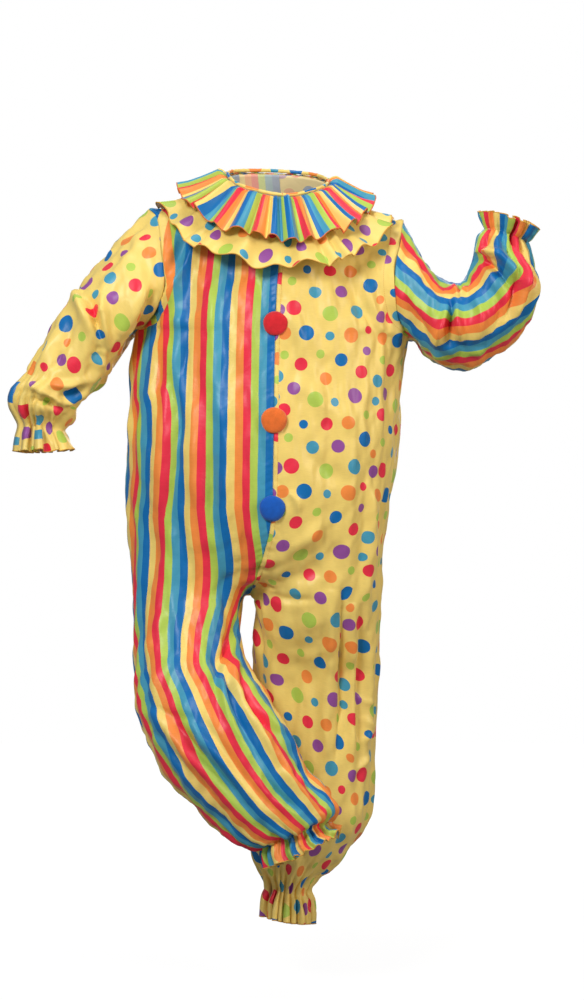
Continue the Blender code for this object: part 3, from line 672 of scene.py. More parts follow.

# %% [markdown]
# ## Listed folds
#
# Satin folds have a soft side and a steep side. Each row below is one fold, looked at on the garment from
# the front or the back: start, middle and end of its line in millimetres, its width and height (a trough
# is negative), its skew in percent (which side is steep) and its tuck, the cloth that it swallows. A tuck
# shifts the print on the far side, as where a stripe or a dot is cut off by a fold. Skew and tuck are left
# out of a row where they are 0.

# %% The table of folds
FOLD_COLUMNS = "x0, z0, xm, zm, x1, z1, width, height, skew, tuck, face"
FRONT_FOLDS = {
    "body_right": (
        (-161, -108, -178, -164, -224, -239, 9, 8, -55), (-176, -108, -198, -164, -235, -234, 8, -4),
        (-191, -95, -209, -151, -239, -206, 7, 3), (-198, -390, -187, -492, -206, -639, 10, -5, 30, 14),
        (-224, -381, -220, -510, -239, -676, 16, 6), (-161, -418, -154, -547, -173, -713, 14, 5),
        (-132, -473, -125, -602, -138, -787, 12, -4), (-99, -473, -99, -602, -106, -768, 14, 4),
        (-73, -547, -68, -676, -80, -787, 10, -3), (-51, -234, -47, -381, -55, -547, 12, 3),
        (-119, -160, -125, -307, -121, -455, 14, 3), (-169, -234, -178, -326, -191, -400, 10, -4),
        (-239, -317, -232, -418, -246, -547, 10, -3), (-88, -787, -95, -860, -88, -952, 9, -5),
        (-60, -787, -76, -833, -100, -874, 10, -6, 20), (-125, -787, -138, -879, -132, -971, 14, 5),
        (-173, -750, -176, -860, -173, -971, 12, -3), (-220, -713, -224, -860, -220, -971, 14, 4),
        (-252, -787, -254, -879, -243, -980, 9, -3), (-70, -838, -104, -897, -116, -960, 9, -8, 30),
        (-95, -888, -103, -952, -73, -1035, 8, 8), (-106, -906, -80, -980, -32, -1081, 6, -8),
        (-91, -897, -62, -980, 8, -1091, 8, 8, -40), (-77, -906, -45, -986, 30, -1076, 6, -7),
        (-68, -897, -32, -980, 47, -1067, 9, 5), (-66, -875, -80, -910, -100, -932, 10, 3),
        (-62, -952, -32, -1004, 19, -1041, 5, -5), (-257, -993, -198, -1059, -88, -1177, 7, -7),
        (-268, -971, -211, -1048, -101, -1164, 9, 6), (-239, -980, -165, -1063, -55, -1183, 10, 7),
        (-202, -993, -138, -1067, -32, -1188, 8, -6), (-169, -999, -106, -1072, -14, -1183, 10, 7, 30),
        (-138, -999, -77, -1081, 8, -1177, 8, -6), (-106, -1035, -51, -1109, 26, -1177, 9, 6),
        (-32, -1100, 4, -1137, 38, -1170, 6, -6), (1, -1091, 38, -1128, 71, -1177, 7, 7, 40),
        (30, -1081, 67, -1122, 78, -1174, 6, -6), (-239, -975, -198, -993, -156, -1000, 6, -3),
    ),
    "body_left": (
        (15, -588, 30, -602, 34, -624, 5, 4), (6, -691, 47, -676, 93, -630, 14, 5),
        (1, -750, 56, -741, 120, -685, 14, -4), (4, -234, 38, -289, 93, -344, 18, 3),
        (19, -381, 74, -418, 130, -473, 16, 3), (38, -492, 84, -547, 148, -565, 16, -3),
        (218, -289, 207, -418, 200, -547, 10, -4), (191, -602, 196, -676, 178, -787, 7, -7, 30, 14),
        (170, -565, 170, -676, 159, -787, 10, 6), (133, -492, 130, -639, 122, -768, 14, 5),
        (93, -455, 93, -602, 78, -750, 14, -4), (155, -160, 170, -234, 196, -289, 9, 4),
        (130, -178, 159, -252, 207, -317, 10, -4), (-51, -768, -32, -764, -7, -772, 4, -5),
        (-46, -790, -27, -813, -23, -871, 6, 6), (-32, -768, 10, -787, 74, -787, 8, -4),
        (-46, -794, -42, -842, -35, -890, 5, -6), (117, -768, 115, -897, 106, -1100, 5, -8, -40, 26),
        (93, -768, 93, -916, 85, -1118, 12, 7), (138, -794, 136, -967, 130, -1140, 8, 7),
        (153, -794, 151, -890, 142, -986, 5, -5, 0, 8), (169, -833, 169, -986, 165, -1140, 8, 6),
        (38, -794, 30, -948, 23, -1101, 14, -4), (0, -813, -8, -948, 4, -1063, 12, 5),
        (-35, -833, -35, -909, -19, -986, 7, -5), (146, -971, 161, -986, 176, -982, 4, 3),
        (149, -1015, 165, -1028, 176, -1053, 4, 3), (142, -1072, 161, -1053, 180, -1034, 4, 3),
        (138, -1120, 157, -1101, 176, -1082, 5, 3), (-35, -1284, -16, -1312, 9, -1332, 6, 4),
        (38, -1274, 30, -1308, 19, -1339, 7, 5),
    ),
    "sleeve_right": (
        (-384, -205, -352, -265, -329, -330, 9, 12, 60, 10),
        (-327, -219, -329, -264, -325, -324, 7, 8, -40), (-356, -226, -344, -275, -337, -345, 9, -11),
        (-353, -267, -340, -258, -327, -247, 5, 5), (-331, -320, -333, -354, -344, -388, 7, 7, 40),
        (-447, -384, -387, -388, -342, -362, 8, 6), (-400, -427, -382, -410, -357, -394, 6, 6),
        (-414, -410, -387, -403, -365, -377, 6, -6), (-504, -399, -455, -397, -399, -429, 7, 8, -50),
        (-485, -418, -444, -418, -402, -441, 6, -6), (-451, -405, -440, -429, -444, -452, 5, 4),
        (-244, -91, -286, -155, -316, -198, 16, 3), (-225, -211, -252, -245, -286, -283, 7, -4),
        (-244, -198, -271, -245, -304, -292, 8, 4), (-414, -283, -432, -324, -459, -362, 12, 5),
        (-380, -260, -402, -311, -417, -362, 10, -4),
    ),
    "sleeve_left": (
        (318, -236, 307, -273, 294, -318, 6, 7, 40), (322, -232, 314, -275, 314, -320, 7, -11),
        (324, -226, 329, -273, 337, -315, 6, 7, -40), (316, -196, 331, -215, 335, -230, 5, 5),
        (339, -188, 337, -211, 333, -232, 5, -6), (350, -194, 343, -215, 335, -232, 5, 5),
        (361, -166, 350, -198, 346, -222, 6, -5), (369, -136, 407, -158, 450, -211, 7, 10, -60),
        (365, -151, 399, -173, 437, -219, 6, -8), (442, -145, 450, -202, 429, -277, 6, 6),
        (435, -155, 439, -207, 420, -273, 5, -6), (459, -132, 470, -198, 455, -264, 9, 6),
        (403, -113, 408, -136, 414, -166, 5, 5), (420, -113, 425, -141, 433, -170, 4, -5),
        (390, -109, 384, -132, 376, -155, 5, -4), (437, -113, 444, -132, 455, -155, 5, 4),
        (235, -155, 264, -207, 301, -236, 10, 4), (233, -226, 254, -273, 286, -301, 10, -4),
        (264, -132, 294, -179, 312, -207, 9, -3), (358, -226, 376, -264, 358, -311, 9, 4),
        (386, -207, 408, -245, 399, -292, 8, -4),
    ),
}
BACK_FOLDS = {
    "body_right": (
        (-205, -240, -150, -320, -90, -430, 22, 9), (-215, -290, -170, -370, -130, -480, 16, -6),
        (-60, -180, -70, -300, -60, -430, 20, 5), (-120, -420, -128, -560, -130, -700, 18, -8),
        (-160, -440, -170, -580, -175, -720, 20, 7, 20), (-80, -470, -85, -590, -80, -700, 18, 6),
        (-230, -420, -236, -560, -228, -690, 16, 5), (-180, -820, -150, -910, -120, -1000, 18, 8),
        (-230, -860, -205, -950, -150, -1060, 16, 7), (-140, -830, -110, -930, -60, -1030, 14, -7),
        (-210, -960, -150, -1080, -70, -1170, 14, -8), (-160, -1000, -100, -1090, -20, -1160, 14, 8),
        (-90, -1000, -40, -1080, 20, -1150, 12, -6),
    ),
    "body_left": (
        (195, -250, 140, -330, 80, -440, 22, 9), (200, -300, 160, -390, 120, -500, 16, -6),
        (50, -180, 55, -300, 45, -430, 20, 5), (110, -420, 112, -560, 110, -700, 18, -8),
        (150, -440, 150, -580, 145, -720, 18, 7, -20), (60, -470, 62, -590, 58, -700, 18, 6),
        (190, -420, 186, -540, 170, -680, 14, 5), (70, -820, 76, -1000, 80, -1180, 16, 8),
        (110, -830, 112, -1000, 112, -1170, 12, -7, 0, 10), (150, -840, 148, -1000, 144, -1150, 14, 7),
        (20, -860, 26, -1000, 30, -1160, 14, 6),
    ),
    "sleeve_right": (
        (-330, -320, -360, -290, -392, -250, 12, -9), (-345, -345, -375, -310, -410, -275, 12, 8, 30),
        (-300, -180, -340, -230, -370, -290, 16, 5), (-380, -330, -410, -380, -440, -420, 14, 6),
        (-420, -310, -445, -360, -470, -410, 14, -5),
    ),
    "sleeve_left": (
        (340, -240, 350, -290, 370, -335, 12, -9), (360, -225, 378, -280, 400, -330, 12, 8, -30),
        (270, -180, 300, -220, 330, -250, 14, 5), (400, -180, 430, -220, 460, -240, 12, 6),
        (390, -150, 425, -170, 465, -190, 10, -5),
    ),
}
print("folds by hand:", sum(len(rows) for folds in (FRONT_FOLDS, BACK_FOLDS) for rows in folds.values()))

# %% [markdown]
# The distance from a fold's line gives its height: a bell curve, narrower on the steep side. The line is
# a bent one through three points, cut into short straight stretches, and the nearest stretch counts.

# %% Pushing the folds in
FOLD_STRETCHES = 12
FOLD_GAIN = {"body_right": 1.6, "body_left": 1.8, "sleeve_right": 2.2, "sleeve_left": 2.6}
FOLD_REACH = 3.2
FACE_REACH = 1.6


def fold_rows(group):
    """A group's folds as one table. Skew and tuck are 0 where a row leaves them out."""
    both = ((FRONT, FRONT_FOLDS[group]), (BACK, BACK_FOLDS[group]))
    return table(FOLD_COLUMNS, *[(*row, 0, 0)[:10] + (face,) for face, rows in both for row in rows])


def beside(flat, row):
    """Distance, signed side distance and share along a fold's line for points seen flat, in metres."""
    start, middle, end = (np.array([row[f"x{k}"], row[f"z{k}"]]) / 1000 for k in "0m1")
    pull = 2 * middle - (start + end) / 2
    t = np.linspace(0, 1, FOLD_STRETCHES + 1)[:, None]
    line = start * (1 - t) ** 2 + 2 * pull * t * (1 - t) + end * t * t
    way = np.diff(line, axis=0)
    offset = flat[:, None] - line[:-1]
    share = np.clip((offset * way).sum(-1) / (way * way).sum(-1), 0, 1)
    offset = offset - share[..., None] * way
    away = np.linalg.norm(offset, axis=-1)
    best = away.argmin(axis=1)
    pick = np.arange(len(flat)), best
    side = (offset[pick] * np.stack([-way[best, 1], way[best, 0]], axis=-1)).sum(-1)
    side /= np.linalg.norm(way[best], axis=1)
    return away[pick], side, (best + share[pick]) / FOLD_STRETCHES


def folded(sheet):
    """Lift along the normal, in metres, and the shift of the print, from the table's rows."""
    flat = sheet["points"][..., [0, 2]].reshape(-1, 2)
    facing = sheet["normals"][..., 1].reshape(-1)
    lift = np.zeros(len(flat))
    shift = np.zeros(len(flat))
    for row in fold_rows(sheet["group"]):
        turned = np.clip(row.face * facing * FACE_REACH, 0, 1)
        width = row.width / 1000
        corners = np.array([[row.x0, row.z0], [row.xm, row.zm], [row.x1, row.z1]]) / 1000
        reach = FOLD_REACH * width
        near = ((flat > corners.min(0) - reach) & (flat < corners.max(0) + reach)).all(axis=1)
        if row.tuck:
            near = (flat[:, 1] > corners[:, 1].min()) & (flat[:, 1] < corners[:, 1].max())
        near &= turned > 0
        if not near.any():
            continue
        away, side, along = beside(flat[near], row)
        taper = np.sin(np.pi * along) ** 0.7
        wide = width * (1 - np.sign(side) * row.skew / 100)
        height = row.height / 1000 * FOLD_GAIN[sheet["group"]]
        lift[near] += height * taper * np.exp(-(away / wide) ** 2) * turned[near]
        if row.tuck and sheet["face"] == row.face:
            outer = side * (1 if sheet["side"] == "left" else -1)
            shift[near] += row.tuck / 1000 * taper * step(-width, width, outer)
    return lift.reshape(sheet["turn"].shape), shift.reshape(sheet["turn"].shape)


# %% [markdown]
# Between the large folds satin is never still. Long soft swells and small crumples are sums of plane waves
# with random ways and phases, from a fixed seed, so that every run gives the same cloth. They are worked
# out from a point's place in space, so that both sides of a seam move together.

# %% Swells, gathers and puckers
GATHER_REST, GATHER_ABOVE, GATHER_BELOW = 0.0020, 0.0060, 0.0075
ABOVE_RISE, ABOVE_FADE, ABOVE_END = 0.014, 0.045, 0.07
FRILL_REACH, FRILL_MOST = 0.035, 1.2
PUCKER_HEIGHT, PUCKER_PITCH = 0.0011, 0.0125


def ripples(points, across, along, height, seed, waves=28):
    """A sum of cosines of plane waves, tight across the body and long down it, times the height."""
    dice = np.random.default_rng(seed)
    ways = dice.normal(size=(waves, 3)) * 2 * np.pi / np.array([across, across, along])
    phases = dice.uniform(0, 2 * np.pi, waves)
    total = np.zeros(points.shape[:-1])
    for way, phase in zip(ways, phases):
        total += np.cos(points @ way + phase)
    return height * total * np.sqrt(2 / waves)


def gathers(turn, away, waves, seed):
    """Pleats at an elastic: uneven cosines round the tube, low at the elastic and opening away from it."""
    circle = 2 * np.pi * turn
    phase = waves * circle + 1.9 * np.sin(3 * circle + seed) + 0.9 * np.sin(7 * circle + 2 * seed)
    shape = np.cos(phase) + 0.4 * np.cos(2 * phase + 1.3 + seed) + 0.25 * np.cos(0.5 * phase + seed)
    above = np.maximum(-away, 0)
    below = np.maximum(away, 0)
    rise = GATHER_ABOVE * (1 - np.exp(-above / ABOVE_RISE)) * np.exp(-above / ABOVE_FADE)
    flare = GATHER_BELOW * np.minimum(below / FRILL_REACH, FRILL_MOST)
    height = GATHER_REST + np.where(away < 0, rise, flare)
    return shape * height * np.exp(-above / ABOVE_END)


def bare_of_collar(points):
    """0 under the ruffles, where folds would come through them, and 1 clear of them."""
    angle = np.degrees(np.arctan2(points[..., 0] - NECK_MIDDLE[0], -(points[..., 1] - NECK_MIDDLE[1])))
    edge = collar_ring(angle.reshape(-1), "lower").reshape(points.shape)
    size = np.linalg.norm(points[..., :2] - NECK_MIDDLE, axis=-1)
    reach = size / np.linalg.norm(edge[..., :2] - NECK_MIDDLE, axis=-1)
    return np.maximum(step(0.98, 1.2, reach), step(0.0, 0.04, edge[..., 2] - points[..., 2]))


def puckers(distance, along, reach):
    """Slanting ridges beside a gathered seam, highest a third of the way across their strip."""
    share = np.clip(distance / reach, 0, 1)
    wobble = 1.2 * np.sin(along * 61) + 0.8 * np.sin(along * 149 + 1)
    slant = np.sin(along * 2 * np.pi / PUCKER_PITCH + share * 5 + wobble)
    return PUCKER_HEIGHT * slant * np.sin(np.pi * share ** 0.7)


# %% [markdown]
# The cloth is lifted twice. The first pass moves it by the folds, the long swells and half of the gathers.
# The normals are then worked out anew, and the second pass adds what is fine: crumples, the rest of the
# gathers, the doubled cloth of the armhole strip and of the placket, and the puckers beside their seams.

# %% Two passes
SWELLS = ((0.12, 0.5, 0.0030, 5), (0.055, 0.16, 0.0016, 8))
CRUMPLES = (0.028, 0.07, 0.00038, 3)
STRIP_RISE, PLACKET_RISE = 0.0011, 0.0014
PUCKER_REACH = 0.020
OPEN_FRONT_FROM, OPEN_FRONT_TO = (0.10, 0.16), (0.74, 0.77)
ELASTIC_CALM, ELASTIC_REACH = 0.8, 0.05


def half_gathers(sheet):
    """Half of a sheet's gathers: each pass adds one half, the second on the normals of the first."""
    return gathers(sheet["turn"], sheet["elastic"], sheet["waves"], len(sheet["name"])) / 2


def large_lift(sheet):
    """Folds, swells and gathers, quiet under the ruffles, or at a sleeve's own armhole."""
    points = sheet["points"]
    bare = bare_of_collar(points) if sheet["face"] else step(0, 0.03, walked(points, 0))
    lift, sheet["shift"] = folded(sheet)
    lift = lift + sum(ripples(points, *swell) for swell in SWELLS)
    lift *= 1 - ELASTIC_CALM * step(-ELASTIC_REACH, 0.0, sheet["elastic"])
    return (lift + half_gathers(sheet)) * bare


def sewn_lift(sheet):
    """Rise of the armhole strip and of the placket, flat-topped, with the puckers beside their seams."""
    points = sheet["points"]
    across = walked(points, 1)
    arm = slice(0, ARMHOLE_ROWS)
    from_arm = across[arm, -1:] - across[arm]
    lift = np.zeros(across.shape)
    lift[arm] = puckers(from_arm, walked(points, 0)[arm, -1:], STRIP_WIDTH)
    flat_top = step(0, 0.003, from_arm) * (1 - step(STRIP_WIDTH - 0.004, STRIP_WIDTH, from_arm))
    lift[arm] += STRIP_RISE * flat_top
    if sheet["face"] == FRONT:
        open_front = step(*OPEN_FRONT_FROM, -points[..., 2]) * (1 - step(*OPEN_FRONT_TO, -points[..., 2]))
        lift += puckers(across, points[..., 2], PUCKER_REACH) * open_front
        if sheet["side"] == "left":
            ridge = step(0, 0.0025, across) * (1 - step(PLACKET_WIDTH - 0.003, PLACKET_WIDTH, across))
            lift += PLACKET_RISE * ridge * open_front
    return lift


def small_lift(sheet):
    """Crumples and gathers, and on the body what is sewn."""
    lift = ripples(sheet["points"], *CRUMPLES)
    if sheet["face"]:
        lift = lift * bare_of_collar(sheet["points"]) + sewn_lift(sheet)
    return lift + half_gathers(sheet)


for lift_of in (large_lift, small_lift):
    lifts = [lift_of(sheet) for sheet in sheets]
    for sheet, lift in zip(sheets, lifts):
        sheet["points"] = sheet["points"] + sheet["normals"] * lift[..., None]
    set_normals(sheets, keys)
    least, most = min(lift.min() for lift in lifts), max(lift.max() for lift in lifts)
    print(lift_of.__name__, "from", round(least * 1000, 1), "to", round(most * 1000, 1), "mm")

# %% [markdown]
# ## From grid to mesh
#
# Every sheet becomes one mesh: points, cells, and the place on the cloth as a map in metres. The thin wall
# is a modifier, and its inner skin takes the second material, because the wrong side of printed satin is
# paler and duller than the right side.

# %% Making pieces
WALL = 0.0008
STRIP_PRINT, PLACKET_PRINT = np.array([0.029, 0.031]), np.array([0.011, 0.047])


def put(name, points, faces, places=None):
    """A smooth mesh object at the origin. Places are the faces' corners on the cloth, in metres."""
    mesh = bpy.data.meshes.new(name)
    mesh.from_pydata(points.reshape(-1, 3).tolist(), [], faces)
    if places is not None:
        layer = mesh.uv_layers.new(name="cloth")
        layer.uv.foreach_set("vector", np.asarray(places, np.float32).reshape(-1))
    mesh.polygons.foreach_set("use_smooth", np.ones(len(mesh.polygons), bool))
    mesh.update()
    made = bpy.data.objects.new(name, mesh)
    bpy.context.scene.collection.objects.link(made)
    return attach(made, "root") or made


def dress(made, slot, *materials):
    """Gives a piece its materials. Its slot is not used."""
    for material in materials:
        made.data.materials.append(material)
    return made


def cloth_piece(sheet):
    """A sheet with a thin wall whose inner skin has the second material."""
    cells, spots = quads(sheet)
    places = sheet["cloth"].reshape(-1, 2)[spots]
    if sheet.get("face"):
        row, column = np.divmod(spots.min(axis=1), sheet["cloth"].shape[1])
        places[(row < ARMHOLE_ROWS) & (column >= COLUMNS - STRIP_COLUMNS)] += STRIP_PRINT
        if sheet["name"] == "body_front_left":
            places[column < PLACKET_COLUMNS] += PLACKET_PRINT
    made = put(sheet["name"], sheet["points"], cells.tolist(), places)
    dress(made, sheet["slot"], right_side[sheet["slot"]], wrong_side[sheet["slot"]])
    wall = made.modifiers.new("wall", "SOLIDIFY")
    wall.thickness = WALL
    wall.offset = 0
    wall.material_offset = 1
    return made


# %% [markdown]
# ## Printed satin
#
# The print is six stripes, 14.1 mm wide, or scattered dots in three sizes that repeat every 198 mm across
# and 292 mm down. Both are worked out from the place on the cloth: stripes by the remainder of the distance
# across, dots by the distance to each dot's middle, wrapped round the repeat. Satin's sheen comes from its
# long floating threads, so the shader gets sheen, fine slubs across and a soft crumple in its bump.

# %% Colours and the chart of dots
def linear(red, green, blue):
    """Screen colour from 0 to 255 to the linear colour that a shader takes."""
    share = np.array([red, green, blue]) / 255
    return (*np.where(share <= 0.04045, share / 12.92, ((share + 0.055) / 1.055) ** 2.4), 1)


DYES = {
    "yellow": linear(250, 219, 120), "orange": linear(252, 146, 66), "red": linear(242, 48, 74),
    "green": linear(184, 212, 86), "light blue": linear(70, 158, 190), "blue": linear(0, 112, 184),
    "purple": linear(150, 80, 160),
}
STRIPE = 0.0141
STRIPE_ORDER = ("blue", "light blue", "green", "red", "orange", "yellow")
DOT_TILE = (0.198, 0.292)
DOT_SIZES = {"L": 0.0143, "M": 0.0120, "S": 0.0082}
DOTS = (
    (23, 19, "L", "red"), (91, 27, "L", "green"), (144, 16, "L", "light blue"), (193, 23, "M", "purple"),
    (47, 65, "L", "blue"), (92, 69, "S", "light blue"), (133, 65, "L", "orange"), (169, 52, "S", "red"),
    (7, 66, "M", "orange"), (75, 103, "S", "green"), (115, 112, "M", "blue"), (167, 92, "S", "purple"),
    (8, 106, "S", "green"), (39, 123, "M", "red"), (156, 132, "M", "red"), (87, 148, "M", "orange"),
    (193, 146, "M", "light blue"), (26, 168, "M", "purple"), (65, 188, "L", "green"),
    (104, 191, "S", "light blue"), (143, 177, "L", "purple"), (8, 208, "M", "red"),
    (168, 211, "S", "green"), (44, 234, "S", "blue"), (88, 232, "M", "red"), (128, 228, "M", "orange"),
    (17, 259, "S", "green"),
    (166, 256, "L", "blue"), (190, 184, "S", "light blue"), (62, 276, "M", "light blue"),
    (111, 272, "M", "purple"), (188, 282, "S", "orange"),
)

# %% [markdown]
# A shader written out node by node gets long. The first helper makes a node in one line: an input that is
# itself a socket is linked, and any other is set. Both prints are then short chains of arithmetic on the
# place on the cloth, so they stay sharp at any distance and need no picture.

# %% Nodes, stripes and dots
def add(tree, kind, inputs=(), **settings):
    """A shader node. An input that is a socket is linked, and any other is set."""
    made = tree.nodes.new("ShaderNode" + kind)
    for name, value in settings.items():
        setattr(made, name, value)
    for key, value in dict(inputs).items():
        if isinstance(value, bpy.types.NodeSocket):
            tree.links.new(value, made.inputs[key])
        else:
            made.inputs[key].default_value = value
    return made


def surface(name):
    """A new material, its node tree and its shader."""
    material = bpy.data.materials.new(name)
    material.use_nodes = True
    return material, material.node_tree, material.node_tree.nodes["Principled BSDF"]


def stripes(tree, place):
    """Colour by the remainder of the distance across, in six equal steps."""
    across = add(tree, "SeparateXYZ", {0: place}).outputs[0]
    repeats = 1 / (STRIPE * len(STRIPE_ORDER))
    turns = add(tree, "Math", {0: across, 1: repeats}, operation="MULTIPLY").outputs[0]
    ramp = add(tree, "ValToRGB", {0: add(tree, "Math", {0: turns}, operation="FRACT").outputs[0]})
    ramp.color_ramp.interpolation = "CONSTANT"
    for k, name in enumerate(STRIPE_ORDER):
        stops = ramp.color_ramp.elements
        stop = stops[k] if k < 2 else stops.new(k / len(STRIPE_ORDER))
        stop.position = k / len(STRIPE_ORDER)
        stop.color = DYES[name]
    return ramp.outputs[0]


def dots(tree, place):
    """Yellow, then each dot laid over it where its wrapped distance is under its radius."""
    width, height = DOT_TILE
    low, high = (-width / 2, -height / 2, -1), (width / 2, height / 2, 1)
    colour = DYES["yellow"]
    for x, y, size, dye in DOTS:
        middle = (x / 1000, -y / 1000, 0)
        away = add(tree, "VectorMath", {0: place, 1: middle}, operation="SUBTRACT").outputs[0]
        away = add(tree, "VectorMath", {0: away, 1: high, 2: low}, operation="WRAP").outputs[0]
        length = add(tree, "VectorMath", {0: away}, operation="LENGTH").outputs["Value"]
        inside = add(tree, "Math", {0: length, 1: DOT_SIZES[size]}, operation="LESS_THAN").outputs[0]
        colour = add(tree, "Mix", {0: inside, 6: colour, 7: DYES[dye]}, data_type="RGBA").outputs[2]
    return colour


# %% [markdown]
# One function makes the shaders of both sides. Two scales of noise drive them: slubs, some fifteen times
# longer across the cloth than down it, and broad patches. They shade the print a little and vary how rough
# it is. The bump is those slubs and a crumple of a few centimetres. On the wrong side the colours are mixed
# with cream, and it is rougher and shines less.

# %% Satin, right side and wrong side
CREAM = linear(246, 238, 214)


def satin(name, pattern, shift=(0, 0), wrong=False):
    """A printed satin material. The wrong side is paler, duller and has less sheen."""
    material, tree, shader = surface(name)
    spot = add(tree, "UVMap", uv_map="cloth").outputs[0]
    moved = add(tree, "VectorMath", {0: spot, 1: (*shift, 0)}, operation="ADD").outputs[0]
    colour = pattern(tree, moved)
    slub = add(tree, "VectorMath", {0: spot, 1: (70, 1100, 1)}, operation="MULTIPLY").outputs[0]
    slub = add(tree, "TexNoise", {"Vector": slub, "Scale": 1.0, "Detail": 2.0}).outputs[0]
    broad = add(tree, "TexNoise", {"Vector": spot, "Scale": 14.0, "Detail": 2.0}).outputs[0]
    both = add(tree, "Math", {0: slub, 1: broad}, operation="ADD").outputs[0]
    shade = add(tree, "MapRange", {0: both, 1: 0.6, 2: 1.4, 3: 0.90, 4: 1.06}).outputs[0]
    colour = add(tree, "VectorMath", {0: colour, 1: shade}, operation="MULTIPLY").outputs[0]
    if wrong:
        colour = add(tree, "Mix", {0: 0.45, 6: colour, 7: CREAM}, data_type="RGBA").outputs[2]
    tree.links.new(colour, shader.inputs["Base Color"])
    rough = add(tree, "MapRange", {0: broad, 3: 0.36 + 0.3 * wrong, 4: 0.46 + 0.3 * wrong}).outputs[0]
    tree.links.new(rough, shader.inputs["Roughness"])
    shader.inputs["Specular IOR Level"].default_value = 0.2 if wrong else 0.38
    shader.inputs["Sheen Weight"].default_value = 0.05 if wrong else 0.08
    shader.inputs["Sheen Roughness"].default_value = 0.4
    crumple = {"Vector": spot, "Scale": 38.0, "Detail": 3.0, "Distortion": 0.6}
    crumple = add(tree, "TexNoise", crumple).outputs[0]
    soft = add(tree, "Bump", {"Strength": 0.45, "Distance": 0.0025, "Height": crumple}).outputs[0]
    fine = {"Strength": 0.35, "Distance": 0.0002, "Height": slub, "Normal": soft}
    tree.links.new(add(tree, "Bump", fine).outputs[0], shader.inputs["Normal"])
    return material


PRINTS = {"striped": (stripes, (0, 0)), "dotted": (dots, (-0.010, -0.061))}
right_side = {slot: satin(f"satin_{slot}", *PRINTS[slot]) for slot in PRINTS}
wrong_side = {slot: satin(f"satin_{slot}_inside", *PRINTS[slot], wrong=True) for slot in PRINTS}
print("materials:", ", ".join(made.name for made in [*right_side.values(), *wrong_side.values()]))

# %% [markdown]
# Each sheet takes the place of its plain solid. The mesh's own area is printed beside the area of its
# flat cut, and the two should be alike. The mesh has less where its gathers are shallower than those of
# real cloth, and because a shaped cut doesn't fill its rectangle.

# %% Body and sleeves
CUTS = {"body_front": (0.40, 1.52), "body_back": (0.40, 1.52), "sleeve": (0.52, 0.48)}


def sewn(sheet, flat):
    made = cloth_piece(sheet)
    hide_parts(sheet["name"])
    areas = np.zeros(len(made.data.polygons))
    made.data.polygons.foreach_get("area", areas)
    cut = round(flat[0] * flat[1], 3)
    print(made.name, "area", round(areas.sum(), 3), "of a cut of", cut, "square metres")


for sheet in sheets:
    if sheet["face"]:
        sheet["cloth"][..., 0] += sheet["shift"]
    sewn(sheet, CUTS[sheet["name"].rsplit("_", 1)[0]])

# %% [markdown]
# ## Two ruffles at the neck
#
# A ruffle is a long straight strip, gathered along one edge until it fits the neck. Its cloth has to go
# somewhere, so it stands in pleats that open towards the free edge. The pleats here are waves pushed up
# from a smooth under side; pinching the phase makes some pleats narrow and others wide, as by hand.

# %% The ruffles
RUFFLES = table(
    "name, kind, waves, height, lift, layer, sag_share, slot, flat_length, flat_width, seed, flare",
    ("collar_tier_upper", "upper", 29, 0.0200, 0.0042, 0, 0.25, "striped", 1.392, 0.105, 1, 0.15),
    ("collar_tier_lower", "lower", 24, 0.0120, 0.0, 1, 1.0, "dotted", 1.386, 0.140, 4, 0.25),
)
PLEAT_STEPS = 22
RUFFLE_ROWS = 40
PLEAT_OPENING = ((0, 0.12, 1), (0.34, 0.64, 1))


def ruffle(row):
    """A closed grid from the neck to the free edge, pleated along its own upward direction.

    Drift and sway move a pleat round the neck, lean pinches it, and tall and reach vary its height and its
    length. Each is a sum of sines with whole turns round the neck, so that the ring closes without a step.
    """
    angle = np.arange(row.waves * PLEAT_STEPS) * 360 / (row.waves * PLEAT_STEPS)
    root = layered(collar_ring(angle, "neck"), row.layer)
    fall = collar_ring(angle, row.kind) - root
    sag = smooth_ring(COLLAR.angle, COLLAR.sag[:, None], angle) * row.sag_share
    around = np.roll(root, -1, axis=0) - np.roll(root, 1, axis=0)
    up = np.cross(around, fall)
    up *= np.sign(up[:, 2:]) / np.linalg.norm(up, axis=1)[:, None]
    circle = np.radians(angle)
    drift = 1.3 * np.sin(5 * circle + row.seed) + 0.8 * np.sin(9 * circle + 2 * row.seed)
    drift += 0.45 * np.sin(14 * circle + 3 * row.seed)
    down = np.linspace(0, 1, RUFFLE_ROWS + 1)[:, None]
    sway = 1.1 * np.sin(3 * circle + row.seed) + 0.8 * np.sin(8 * circle + 5 * row.seed)
    phase = row.waves * circle + drift + down * sway
    lean = 0.55 * np.sin(6 * circle + 2 + row.seed)
    wave = 1 - (0.5 + 0.5 * np.cos(phase + lean * np.sin(phase))) ** 1.35
    fine = 0.5 - 0.5 * np.cos(2.0 * phase + 1.7 + 1.1 * np.sin(4 * circle))
    tall = 0.70 + 0.20 * np.sin(7 * circle + row.seed + 1.2 * down) + 0.22 * np.sin(11 * circle + 1 - down)
    reach = 1 + 0.030 * np.sin(9 * circle + row.seed) + 0.026 * np.sin(20 * circle + 1)
    opened = np.interp(down, *PLEAT_OPENING)
    height = row.height * opened * tall * (wave + 0.34 * fine * (1 - down) ** 1.5)
    height = np.minimum(height * np.minimum(down / 0.04, 1), row.height * 1.05)
    height = height * (1 + row.flare * step(0.72, 1, down)) + row.lift * step(0, 0.14, down)
    fall = fall * reach[:, None]
    points = root + fall * down[..., None] + up * (height - sag[:, 0] * 4 * down * (1 - down))[..., None]
    share = np.append(angle, 360) / 360
    depth = down * row.flat_width * np.ones_like(share)
    cloth = np.stack([share * np.ones_like(depth) * row.flat_length, -depth], axis=-1)
    return {"name": row["name"], "points": points, "cloth": cloth, "closed": True, "outward": -1,
            "slot": row.slot}


ruffles = [ruffle(row) for row in RUFFLES]
for sheet, row in zip(ruffles, RUFFLES):
    sewn(sheet, (float(row.flat_length), float(row.flat_width)))

